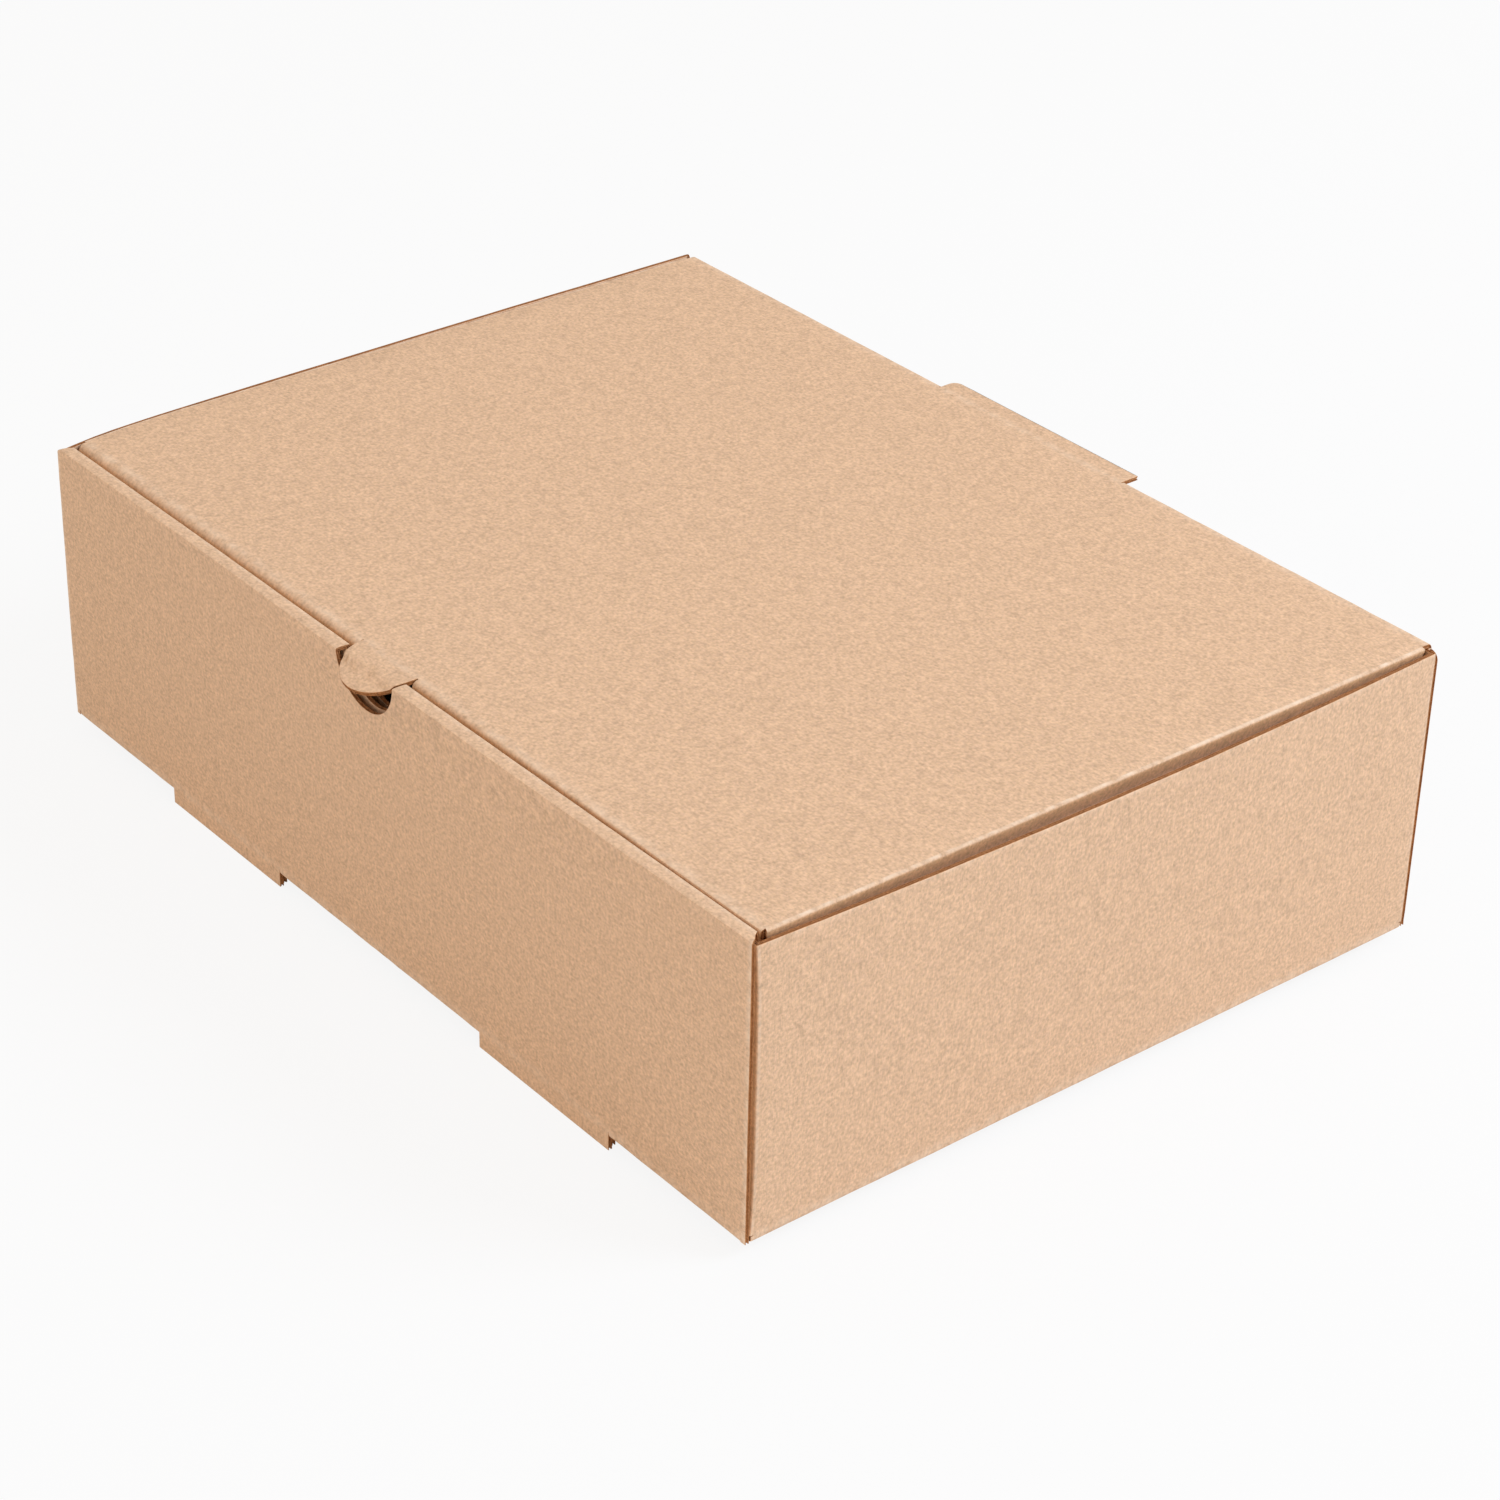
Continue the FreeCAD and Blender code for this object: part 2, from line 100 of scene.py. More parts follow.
# Walls
SIDE_BOW = 3.0  # how far a side wall's top bulges at its middle
SIDE_DROP = 1.8  # a side wall's raw top edge is this far below the lid
EAR_LENGTH = 65.0
EAR_CORNER = 8.0
EAR_DROP = 1.8
EAR_RECESS = 1.3  # how far its fold at a front corner lies back from the front panel half way up
END_WEAR_AND_HIGHLIGHT = 2.0  # how much paler the front panel's raw ends are, where an ordinary fold is 1: partly wear, partly a painted highlight of the light line along them
RIM_WEAR_AND_HIGHLIGHT = 1.0  # and a side wall's rim, partly wear and partly a painted highlight of its bright line
BACK_INSET = 0.5  # the back wall's ends stop this far short of the side walls' faces
BACK_CORNER = 2.9
WALL_END_FOOT = 0.2  # height at which the front and back walls' ends stop, beyond the base
FRONT_BOW = 1.1  # how far the front wall's top bulges
FRONT_ROLL_BOW = 0.4  # and the inner rim of its rolled top
FRONT_BOW_MIDDLE, FRONT_BOW_HALF = 45.0, 150.0
ROLL_GIVE = 20.0  # how far behind the roll its bow has died away
CORNER_LENGTH = 20.0  # how far a front corner's give reaches along the side wall
EAR_FOLD_START, EAR_FOLD_WIDTH = 4.0, 2.0  # how far in from the side wall an ear's fold begins
LEFT_LEAN = 1.0  # how far the front wall's left end leans in at its top
LEFT_LEAN_LENGTH = 12.0
LEFT_DROP = 0.8  # how far its rolled top's left end turns down
LEFT_DROP_LENGTH = 3.0
LEFT_DROP_DEPTH = 5.0  # how far down its outer board goes with it
LEFT_BOW_START, LEFT_BOW_LENGTH = 14.0, 12.0  # how far in from the left wall the kept bow begins
LEFT_RISE = 1.8  # how much higher the left wall's top rises towards the back
LEFT_RISE_START, LEFT_RISE_LENGTH = -250.0, 300.0
LEFT_RISE_PAST, LEFT_RISE_END = 1.5, 0.5  # how far past the wall's end it goes, and over what length it ends
LEFT_RISE_INSIDE, LEFT_RISE_WIDTH = 1.7, 0.6  # how far in from the wall's face it begins
NOTCH_RADIUS = 15.0
NOTCH_CENTRE = 100.8  # height of the thumb notch's centre

# Feet and the tabs that lock the front wall
FOOT_DEPTH = 4.8
FOOT_MIDDLE = 86.6
FOOT_HALF = 31.95
SLOT_BACK = 125.2  # far side of the slot that a foot leaves in the base
LOCK_HALF = 31.55
LOCK_TAPER = 0.3
LOCK_REACH = 4.5
LOCK_TURN, LOCK_BEND = 50.0, 1.5  # the tabs turn forwards through the base, to lie behind the feet
INNER_END = 1.7  # height of the inner panel's lower edge

# Lid
TUCK_LEAN = 6.0  # degrees that the tuck flap leans inwards
TUCK_LENGTH = 36.07
TUCK_TAPER = 4.0
TUCK_CORNER = 12.0
FRONT_CRUSH = 0.5  # how much sharper the lid's front fold is at its right end
FRONT_CRUSH_START, FRONT_CRUSH_LENGTH = -20.0, 160.0  # the x where that begins, and over what length it grows
FRONT_GROWTH = (-100.0, 130.0), (1.5, 0.1)  # at these x, how much larger the fold's radius is
FRONT_GAPS = (-100.0, 70.0, 140.0), (1.6, 0.9, 0.35)  # and how much further it lies from the front wall
FRONT_GIVE_START, FRONT_GIVE_LENGTH = 100.0, 25.0  # how far in front of the middle it begins to move back
LEFT_GIVE_START, LEFT_GIVE_LENGTH = 150.0, 25.0  # and how far to the left the lid begins to follow the wall
TUCK_INSET, TUCK_SLOPE = 0.4, 0.16  # the tuck flap is what lies in front of a line with this start and slope
DUST_END = 58.0  # height of a dust flap's lower edge
DUST_LEAN = 14.0  # degrees that it leans inwards below its fold
DUST_KNEE = 4.0  # length over which it does so
DUST_TAPER = 9.0
DUST_CORNER = 6.0
DUST_BACK = 127.5
THUMB_RADIUS = 14.4
THUMB_DROOP = 18.0
THUMB_BEND = 9.0  # length over which the thumb tab turns down
THUMB_REST = 12.0  # and over which it makes up for the gap behind the front wall
HOLE_RADIUS = 14.7
HOLE_CENTRE = 99.6
HINGE_TAB_HALF = 44.5
HINGE_TAB_END = 137.5
HINGE_CORNER = 3.0
HINGE_SLOT_HALF = 44.8
HINGE_SLOT_FOOT = 91.6
HINGE_TOP = 97.7  # where the back wall ends and the crease begins

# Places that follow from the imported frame
tray_low, tray_high = (np.array(corner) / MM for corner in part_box("tray"))
SIDE = tray_high[0] - SIDE_BOW  # outer face of a side wall at its foot
FACE = (tray_high[1] - tray_low[1]) / 2  # outer faces of the front and back walls
HEIGHT = tray_high[2] - tray_low[2] - FOOT_DEPTH
ORIGIN = np.array([0.0, (tray_high[1] + tray_low[1]) / 2, tray_low[2] + FOOT_DEPTH])

TOP = HEIGHT - HALF  # the board's middle, on top and at the base
CREASE = TOP - BEND
BEND_FOOT = HALF + BEND
WALL = FACE - HALF
BASE_SIDE = SIDE - FOLD
BASE_END = FACE - FOLD - LAYER_GAP
SIDE_END = FACE - BOARD - LAYER_GAP - HALF - SHARP_BEND
SIDE_TOP = HEIGHT - SIDE_DROP
INNER_FACE = FACE - 3 * BOARD - 2 * LAYER_GAP
LID_FLAT = SIDE - BOARD - DUST_GAP - HALF - SHARP_BEND
LID_FOLD = INNER_FACE - LID_GAP - HALF - CRISP_BEND  # where the lid begins to turn down at the front
BACK_FOLD = WALL - BEND
ROLL_CREASE = TOP - CRISP_BEND
ROLL_DEPTH = 2 * (BOARD + LAYER_GAP)  # from the front panel's middle to the inner panel's
MITRE_REST = 12.0  # the inner panel has its full width this far below the mitred roll

STEP = 8.0  # size of the mesh's cells on flat board
FOLD_ROWS, FINE_ROWS, LOCK_ROWS = 7, 9, 5  # rows over a fold, a fold seen closely and a lock tab's bend
CUT_STEPS = 26  # steps round a round cut
FOOT_STEP, TAB_STEP = 2.0, 3.0  # size of the cells on the feet and locks, and on the hinge tab
KNEE_STEPS = 1.0, 0.4  # and on a dust flap, above its bend and in it
SAME = 0.01  # places that differ by less are the same
HAIR = 1e-6  # more than what rounding adds to a length


# ------------------------------------------------------------ flat stations


def spread(start, end, step=STEP):
    """Even stations from start to end, at most a step apart."""
    return np.linspace(start, end, max(1, int(np.ceil(abs(end - start) / step - HAIR))) + 1)


def beside_fold(start, end, near_start=True, near_end=True):
    """Stations over a flat run, closer together within 3 mm of a fold at its start or end."""
    way = np.sign(end - start)
    first = [start, start + way, start + 3 * way] if near_start else [start]
    last = [end - 3 * way, end - way, end] if near_end else [end]
    return join(first, spread(first[-1], last[0]), last)


def join(*runs):
    """Runs of stations as one, each station once, in the order in which they are walked."""
    stations = np.concatenate([np.atleast_1d(np.asarray(run, float)) for run in runs])
    keep = np.concatenate([[True], np.abs(np.diff(stations)) > HAIR])
    return stations[keep]


def ramp(past, length):
    """0 up to a place and 1 from a length beyond it, for what lies past the place by a distance."""
    return np.clip(past / length, 0, 1)


def smooth(share):
    """A share from 0 to 1 with a soft start and end: share^2 (3 - 2 share)."""
    return share**2 * (3 - 2 * share)


def triples(x, y, z):
    """x, y and z as one grid of triples. Each may be a whole grid, a row, a column or one value."""
    return np.stack(np.broadcast_arrays(x, y, z), -1)


def cells(number):
    """The quads between the neighbours in a grid of point numbers."""
    corners = number[:-1, :-1], number[1:, :-1], number[1:, 1:], number[:-1, 1:]
    return np.stack(corners, -1).reshape(-1, 4)


def rounded(distance, radius):
    """How far a rounded corner pulls an outline in, at a distance from its end: radius less half a chord."""
    short = np.clip(radius - distance, 0, radius)
    return radius - np.sqrt(radius**2 - short**2)


def corner_stations(end, radius, way, count=6):
    """Stations that follow a rounded corner evenly, walking way (+1 or -1) to its end."""
    return end - way * radius * (1 - np.sin(np.linspace(0, np.pi / 2, count + 1)))


# ------------------------------------------------------------ folded paths


def bend(turn, radius=BEND, crush=0.0, crown=None, wear=1.0):
    """A run of a path that turns by so many degrees round a fold: its length, turn, crush, the strength of a
    painted highlight on its crown if its far side turns into a gap beside other board, where painted shade
    then darkens that far side, and its wear all over."""
    return radius * np.radians(abs(turn)), turn, crush, crown, wear


def wear_and_painted_light(crease, walked, length, turn, crown, wear):
    """The wear of a fold, added to what there is, fading beyond it. A fold beside a gap also gets a painted
    highlight on its crown, and goes down to -1 on its far side, which stands for painted shade in the gap
    close to other board."""
    away = np.maximum(np.maximum(-walked, walked - length), 0)
    found = np.maximum(crease, wear * np.exp(-((away / WEAR_FADE) ** 2)))
    if crown is None:
        return found
    angle = ramp(walked, length) * turn
    found = found + crown * np.exp(-(((angle - CROWN_ANGLE) / CROWN_WIDTH) ** 2)) * (away < CROWN_END)
    hidden = ramp(angle - GAP_ANGLE, GAP_TURN)
    return found * (1 - hidden) - hidden * np.exp(-((away / GAP_DEPTH) ** 2))


class Path:
    """A line of straight runs and bends in a plane. Each run is (length, turn in degrees) or a bend, and
    its heading turns evenly over its length. The outer paper is on the left where side is +1, else right."""

    def __init__(self, start, heading, runs, side):
        self.start, self.heading, self.side = start, heading, side
        self.runs = [run if len(run) > 2 else (*run, 0.0, None, 0.0) for run in runs]
        self.marks = np.concatenate([[0], np.cumsum([run[0] for run in runs])])

    def walk(self, along):
        """Places (n, 2), headings (n), and wear with painted highlights and shade (n) at the walked
        distances. A bend of radius r moves by r (sin b - sin a, cos a - cos b) as the heading turns from a to
        b, and a straight run by its length. A crushed bend also comes out towards its corner, by its crush
        times sin (pi share) cubed."""
        along = np.asarray(along, float)
        place = np.zeros(along.shape + (2,))
        angle = np.zeros(along.shape)
        crease = np.zeros(along.shape)
        at, facing, begun = np.array(self.start, float), np.radians(self.heading), 0.0
        for length, turn, crush, crown, wear in self.runs:
            turn = np.radians(turn)
            here = along >= begun - HAIR

            def step(walked):
                if abs(turn) < HAIR:
                    return walked[..., None] * np.array([np.cos(facing), np.sin(facing)])
                swing = facing + turn * walked / length
                moved = [np.sin(swing) - np.sin(facing), np.cos(facing) - np.cos(swing)]
                return length / turn * np.stack(moved, -1)

            walked = np.clip(along - begun, 0, length)
            place[here] = at + step(walked)[here]
            angle[here] = facing + (turn * walked / length)[here]
            if crush:
                middle = facing + turn / 2
                corner = np.sign(turn) * np.array([np.sin(middle), -np.cos(middle)])
                place += (crush * np.sin(np.pi * walked / length) ** 3)[..., None] * corner
            if abs(turn) > np.radians(WORN_TURN):
                crease = wear_and_painted_light(crease, along - begun, length, abs(np.degrees(turn)), crown, wear)
            at = at + step(np.array(length))
            facing += turn
            begun += length
        return place, angle, crease

    def normal(self, angle):
        """Unit direction from the board's middle to its outer paper, in the path's plane."""
        return self.side * np.stack([-np.sin(angle), np.cos(angle)], -1)


class Board:
    """A folded sheet of board, kept as panels of its middle surface, which weld where they share corners."""

    def __init__(self):
        self.places, self.normals, self.across, self.sheets, self.quads = [], [], [], [], []
        self.count = 0

    def add(self, place, normal, across, sheet):
        """One panel: grids of places, outward normals and directions across the flutes, and of sheet
        coordinates: across the flutes, along them, and nearness to a fold. Places are (rows, columns, 3),
        and the others may have one row or column for all. The cells wind about the normal."""
        rows, columns = place.shape[:2]
        number = self.count + np.arange(rows * columns).reshape(rows, columns)
        quads = cells(number)
        facing = np.cross(place[1:, :-1] - place[:-1, :-1], place[:-1, 1:] - place[:-1, :-1])
        if (facing * np.broadcast_to(normal, place.shape)[:-1, :-1]).sum() < 0:
            quads = quads[:, ::-1]
        self.quads.append(quads)
        self.count += rows * columns
        lists = self.places, self.normals, self.across, self.sheets
        for kept, grid in zip(lists, (place, normal, across, sheet)):
            kept.append(np.broadcast_to(grid, place.shape).reshape(-1, 3))

    def strip(self, path, rows, left, right, shares, shift=0.0):
        """A panel carried along a path in the y-z plane, from x = left to right: each may change from row
        to row. shares are its columns as shares of its width, and the flutes run along the path."""
        rows = np.asarray(rows, float)
        left, right = np.broadcast_to(left, rows.shape), np.broadcast_to(right, rows.shape)
        x = left[:, None] + (right - left)[:, None] * shares
        self.carry(path, np.broadcast_to(rows[:, None], x.shape), x, shift)

    def carry(self, path, along, x, shift=0.0):
        """A panel whose grid of walked distances and of x is given whole."""
        line, angle, crease = path.walk(along)
        out = path.normal(angle)
        place, normal = triples(x, line[..., 0], line[..., 1]), triples(0.0, out[..., 0], out[..., 1])
        self.add(place, normal, np.array([1.0, 0, 0]), triples(x, along + shift, crease))

    def carry_aside(self, path, rows, y, way, begun, along):
        """A panel carried along a path in the x-z plane to the side that way says. Across the flutes its
        sheet begins so far out, and along says where it lies along them."""
        line, angle, crease = path.walk(rows)
        out = path.normal(angle)
        place = triples(way * line[..., 0], y, line[..., 1])
        normal = triples(way * out[..., 0], 0.0, out[..., 1])
        across = triples(way * np.cos(angle), 0.0, way * np.sin(angle))
        self.add(place, normal, across, triples(way * (begun + rows), along, crease))

    def lanes(self, path, rows, edges, shares, skip=(), shift=0.0):
        """The panels between neighbouring edges, apart from those skipped."""
        for lane, (left, right) in enumerate(zip(edges[:-1], edges[1:])):
            if lane not in skip:
                self.strip(path, rows, left, right, shares[lane], shift)


def even_shares(edges, round_lane, angle):
    """Columns of each lane as shares of its width. Those of the lane below a round cut follow its circle."""
    found = []
    for lane, (left, right) in enumerate(zip(edges[:-1], edges[1:])):
        if lane == round_lane:
            found.append(circle_shares(angle))
        else:
            found.append(spread(0, 1, STEP / (right - left)))
    return found


def circle_shares(angle):
    """Shares of a chord that lie under even steps round its circle, from -angle to angle."""
    turn = np.linspace(-angle, angle, CUT_STEPS + 1)
    return (np.sin(turn) / np.sin(angle) + 1) / 2


def half_chord(radius, centre, height):
    """Half width of a round cut at a height: the circle's half chord."""
    return np.sqrt(radius**2 - (centre - height) ** 2)


# ------------------------------------------------------------ the tray

TRAY_PATH = Path(
    start=(WALL, HINGE_TOP),
    heading=-90,
    runs=[
        (HINGE_TOP - BEND_FOOT, 0),  # down the back wall
        bend(-90, BEND, BASE_CRUSH),
        (2 * BACK_FOLD, 0),  # along the base to the front
        bend(-90, BEND, BASE_CRUSH),
        (ROLL_CREASE - BEND_FOOT, 0),  # up the front wall
        bend(-90, CRISP_BEND, ROLL_CRUSH, wear=ROLL_WEAR),
        (ROLL_DEPTH - 2 * CRISP_BEND, 0),  # over its rolled top
        bend(-90, CRISP_BEND, ROLL_CRUSH, ROLL_CROWN_HIGHLIGHT, ROLL_WEAR),
        (ROLL_CREASE - INNER_END, 0),  # down its inner panel
    ],
    side=1,
)
NOTCH_REST = 80.0  # the notch's panels begin at this height
NOTCH_ANGLE = np.arccos((NOTCH_CENTRE - ROLL_CREASE) / NOTCH_RADIUS)
NOTCH_HALF = NOTCH_RADIUS * np.sin(NOTCH_ANGLE)
SLOT_LEFT = HINGE_SLOT_HALF - HINGE_CORNER
FOOT_IN, FOOT_OUT = FOOT_MIDDLE - FOOT_HALF, FOOT_MIDDLE + FOOT_HALF
LOCK_IN, LOCK_OUT = FOOT_MIDDLE - LOCK_HALF, FOOT_MIDDLE + LOCK_HALF
TRAY_EDGES = [
    -SIDE, -BASE_SIDE, -FOOT_OUT, -LOCK_OUT, -LOCK_IN, -FOOT_IN, -SLOT_LEFT, -NOTCH_HALF,
    NOTCH_HALF, HINGE_SLOT_HALF, FOOT_IN, LOCK_IN, LOCK_OUT, FOOT_OUT, BASE_SIDE, SIDE,
]
BACK_EDGES = [-SIDE + BACK_INSET, *TRAY_EDGES[1:-1], SIDE - BACK_INSET]
WALL_ENDS = (0, 14)  # lanes that the walls have and the base hasn't
FOOT_LANES = (2, 3, 4, 10, 11, 12)
LOCK_LANES = (3, 11)
NOTCH_LANE = 7
TRAY_SHARES = even_shares(TRAY_EDGES, NOTCH_LANE, NOTCH_ANGLE)

# Stations of y over the base, which the side walls share
BASE_ROWS = join(
    beside_fold(BASE_END, SIDE_END, False, False),
    spread(SIDE_END, -SLOT_BACK),
    spread(-SLOT_BACK, -SIDE_END),
    spread(-SIDE_END, -BASE_END),
)
# Stations of height up a side wall, which its ears share
EAR_FOOT, EAR_TOP = BEND_FOOT + LAYER_GAP, HEIGHT - EAR_DROP
SIDE_ROWS = join(
    BEND_FOOT,
    corner_stations(EAR_FOOT, EAR_CORNER, -1)[::-1],
    spread(EAR_FOOT + EAR_CORNER, EAR_TOP - EAR_CORNER),
    corner_stations(EAR_TOP, EAR_CORNER, 1),
    SIDE_TOP,
)


def base_distance(y):
    """Distance walked along the tray's path when it crosses the base at y."""
    return TRAY_PATH.marks[2] + BACK_FOLD - y


def front_and_back(tray):
    """Back wall, base, front wall, its rolled top and its inner panel: one strip carried along the tray's
    path."""
    mark = TRAY_PATH.marks
    slot_end = HINGE_TOP - HINGE_SLOT_FOOT
    slot_rows = join(
        corner_stations(0.0, BACK_CORNER, -1)[::-1],
        spread(BACK_CORNER, slot_end - HINGE_CORNER),
        corner_stations(slot_end, HINGE_CORNER, 1),
    )
    slot_edges = list(BACK_EDGES)
    slot_edges[6] = -HINGE_SLOT_HALF + rounded(slot_end - slot_rows, HINGE_CORNER)
    slot_edges[15] = BACK_EDGES[15] - rounded(slot_rows, BACK_CORNER)
    slot_edges[14] = np.minimum(BASE_SIDE, slot_edges[15] - BACK_INSET)
    slot_edges[0], slot_edges[1] = -slot_edges[15], -slot_edges[14]
    tray.lanes(TRAY_PATH, slot_rows, slot_edges, TRAY_SHARES, skip=(6, 7, 8))

    def rest(rows, skip=(), edges=TRAY_EDGES):
        tray.lanes(TRAY_PATH, rows, edges, TRAY_SHARES, skip)

    rest(beside_fold(slot_end, mark[1], near_start=False), edges=BACK_EDGES)
    rest(join(np.linspace(mark[1], mark[2], FOLD_ROWS), base_distance(BASE_END)), WALL_ENDS)
    rest(base_distance(BASE_ROWS[BASE_ROWS > -SLOT_BACK - HAIR]), WALL_ENDS)
    rest(base_distance(BASE_ROWS[BASE_ROWS < -SLOT_BACK + HAIR]), WALL_ENDS + FOOT_LANES)
    rest(join(base_distance(-BASE_END), np.linspace(mark[3], mark[4], FOLD_ROWS)), WALL_ENDS + FOOT_LANES)

    below_notch = mark[4] + NOTCH_REST - BEND_FOOT
    up = beside_fold(below_notch, mark[5], near_start=False)
    rest(beside_fold(mark[4], below_notch, near_end=False))
    rest(up, (NOTCH_LANE,))
    round_cut(tray, TRAY_PATH, up, NOTCH_HALF, NOTCH_RADIUS, NOTCH_CENTRE, NOTCH_ANGLE, ROLL_CREASE)

    shoulder = mark[6] + FOLD - CRISP_BEND  # there the roll's mitred ends are as far in as the base's
    over = join(np.linspace(mark[5], mark[6], FOLD_ROWS), shoulder)
    down = join(shoulder, np.linspace(mark[7], mark[8], FOLD_ROWS))
    for rows, skip, end in ((over, (), 15), (down, WALL_ENDS, 14)):
        edges = list(TRAY_EDGES)
        line = TRAY_PATH.walk(rows)[0]
        edges[8] = half_chord(NOTCH_RADIUS, NOTCH_CENTRE, line[:, 1])
        edges[end] = SIDE - (WALL + line[:, 0])
        edges[7], edges[15 - end] = -edges[8], -edges[end]
        rest(rows, (NOTCH_LANE,) + skip, edges)

    below_notch = mark[8] + ROLL_CREASE - NOTCH_REST
    inner = beside_fold(mark[8], below_notch, near_end=False)
    edges = list(TRAY_EDGES)
    edges[14] = BASE_SIDE - (ROLL_DEPTH - FOLD) * (1 - ramp(inner - mark[8], MITRE_REST))
    edges[1] = -edges[14]
    rest(inner, (NOTCH_LANE,) + WALL_ENDS, edges)
    round_cut(tray, TRAY_PATH, inner[::-1], NOTCH_HALF, NOTCH_RADIUS, NOTCH_CENTRE, NOTCH_ANGLE, ROLL_CREASE)
    rest(spread(below_notch, mark[9]), WALL_ENDS)


def round_cut(board, path, rows, half, radius, centre, angle, crease_height):
    """The panel below a round cut. Its rows start flat and end on the circle, at centre - radius cos(angle)
    high, and its columns lie at radius sin(angle). rows are walked distances, the flat row first."""
    turn = np.linspace(-angle, angle, CUT_STEPS + 1)
    x = radius * np.sin(turn) * half / (radius * np.sin(angle))
    lowered = crease_height - (centre - radius * np.cos(turn))
    share = (rows - rows[0]) / (rows[-1] - rows[0])
    slant = abs(rows[-1] - rows[0]) / abs(np.diff(path.walk(rows[[0, -1]])[0][:, 1])[0])
    end = rows[-1] - np.sign(rows[-1] - rows[0]) * lowered * slant
    along = rows[0] + share[:, None] * (end - rows[0])
    board.carry(path, along, np.broadcast_to(x, along.shape))


def feet_and_locks(tray):
    """The feet carry the front wall straight on below the base, and so do the front and back walls' ends,
    not as far. The inner panel's tabs narrow as they pass through the slots that the feet leave, and turn
    forwards there: two bends of radius r by an angle a, with a straight run l between them, move them by
    2 r (1 - cos a) + l sin a."""
    foot = Path((-WALL, BEND_FOOT), -90, [(BEND_FOOT + FOOT_DEPTH, 0)], -1)
    others = set(range(len(TRAY_SHARES))) - set(FOOT_LANES)
    tray.lanes(foot, spread(0, foot.marks[1], FOOT_STEP), TRAY_EDGES, TRAY_SHARES, others, TRAY_PATH.marks[4])
    others = set(range(len(TRAY_SHARES))) - set(WALL_ENDS)
    for y, side, edges, mark in ((-WALL, -1, TRAY_EDGES, 4), (WALL, 1, BACK_EDGES, 1)):
        end = Path((y, BEND_FOOT), -90, [(BEND_FOOT - WALL_END_FOOT, 0)], side)
        tray.lanes(end, end.marks, edges, TRAY_SHARES, others, TRAY_PATH.marks[mark])

    turn = np.radians(LOCK_TURN)
    slant = (BOARD + LAYER_GAP - 2 * LOCK_BEND * (1 - np.cos(turn))) / np.sin(turn)
    fallen = 2 * LOCK_BEND * np.sin(turn) + slant * np.cos(turn)
    end = INNER_END + LOCK_REACH - fallen
    runs = [bend(-LOCK_TURN, LOCK_BEND), (slant, 0), bend(LOCK_TURN, LOCK_BEND), (end, 0)]
    lock = Path((-INNER_FACE - HALF, INNER_END), -90, runs, 1)
    mark = lock.marks
    bends = [np.linspace(start, end, LOCK_ROWS) for start, end in ((0, mark[1]), (mark[2], mark[3]))]
    rows = join(*bends, spread(mark[3], mark[4], FOOT_STEP))
    narrower = LOCK_TAPER * rows / rows[-1]
    for lane in LOCK_LANES:
        left, right = TRAY_EDGES[lane] + narrower, TRAY_EDGES[lane + 1] - narrower
        tray.strip(lock, rows, left, right, TRAY_SHARES[lane], TRAY_PATH.marks[9])


def side_and_ears(tray, way):
    """A side wall turned up from the base, and the ears folded in from its two ends. The wall's foot is
    straight and its top an arc, with straight lines between them: x = foot + bow (1 - (y / end)^2) times
    the share of height."""
    path = Path((BASE_SIDE, HALF), 0, [bend(90, BEND, BASE_CRUSH)], -1)
    rows = np.linspace(0, path.marks[1], FOLD_ROWS)[:, None]
    tray.carry_aside(path, rows, BASE_ROWS, way, BASE_SIDE, base_distance(BASE_ROWS))

    y = BASE_ROWS[np.abs(BASE_ROWS) < SIDE_END + HAIR]
    z = SIDE_ROWS[:, None] + 0 * y
    risen = (z - BEND_FOOT) / (SIDE_TOP - BEND_FOOT)
    x = SIDE - HALF + SIDE_BOW * (1 - (y / SIDE_END) ** 2) * risen
    lean = SIDE_BOW * (1 - (y / SIDE_END) ** 2) / (SIDE_TOP - BEND_FOOT)
    turned = -2 * SIDE_BOW * y / SIDE_END**2 * risen
    normal = triples(way, -turned, -lean)
    normal /= np.linalg.norm(normal, axis=-1, keepdims=True)
    far = BASE_SIDE + path.marks[1] + z - BEND_FOOT
    crease = np.exp(-(((z - BEND_FOOT) / WEAR_FADE) ** 2))
    up = np.array([0, 0, float(way)])
    tray.add(triples(way * x, y, z), normal, up, triples(way * far, base_distance(y), crease))

    ear = Path((SIDE - HALF, SIDE_END), 90, [bend(90, SHARP_BEND, EAR_CRUSH, 0.0), (EAR_LENGTH, 0)], -1)
    z = SIDE_ROWS[(SIDE_ROWS > EAR_FOOT - HAIR) & (SIDE_ROWS < EAR_TOP + HAIR)][:, None]
    shorter = rounded(z - EAR_FOOT, EAR_CORNER) + rounded(EAR_TOP - z, EAR_CORNER)
    turn_rows = np.linspace(0, ear.marks[1], FOLD_ROWS)
    flat_share = (beside_fold(ear.marks[1], ear.marks[2], near_end=False) - ear.marks[1]) / EAR_LENGTH
    along = np.concatenate([0 * z + turn_rows, ear.marks[1] + flat_share[1:] * (EAR_LENGTH - shorter)], 1)
    line, angle, crease = ear.walk(along)
    out = ear.normal(angle)
    far = BASE_SIDE + path.marks[1] + z - BEND_FOOT
    for end in (-1, 1):
        place = triples(way * line[..., 0], end * line[..., 1], z)
        normal = triples(way * out[..., 0], end * out[..., 1], 0.0)
        tray.add(place, normal, up, triples(way * far, base_distance(end * (SIDE_END + along)), crease))


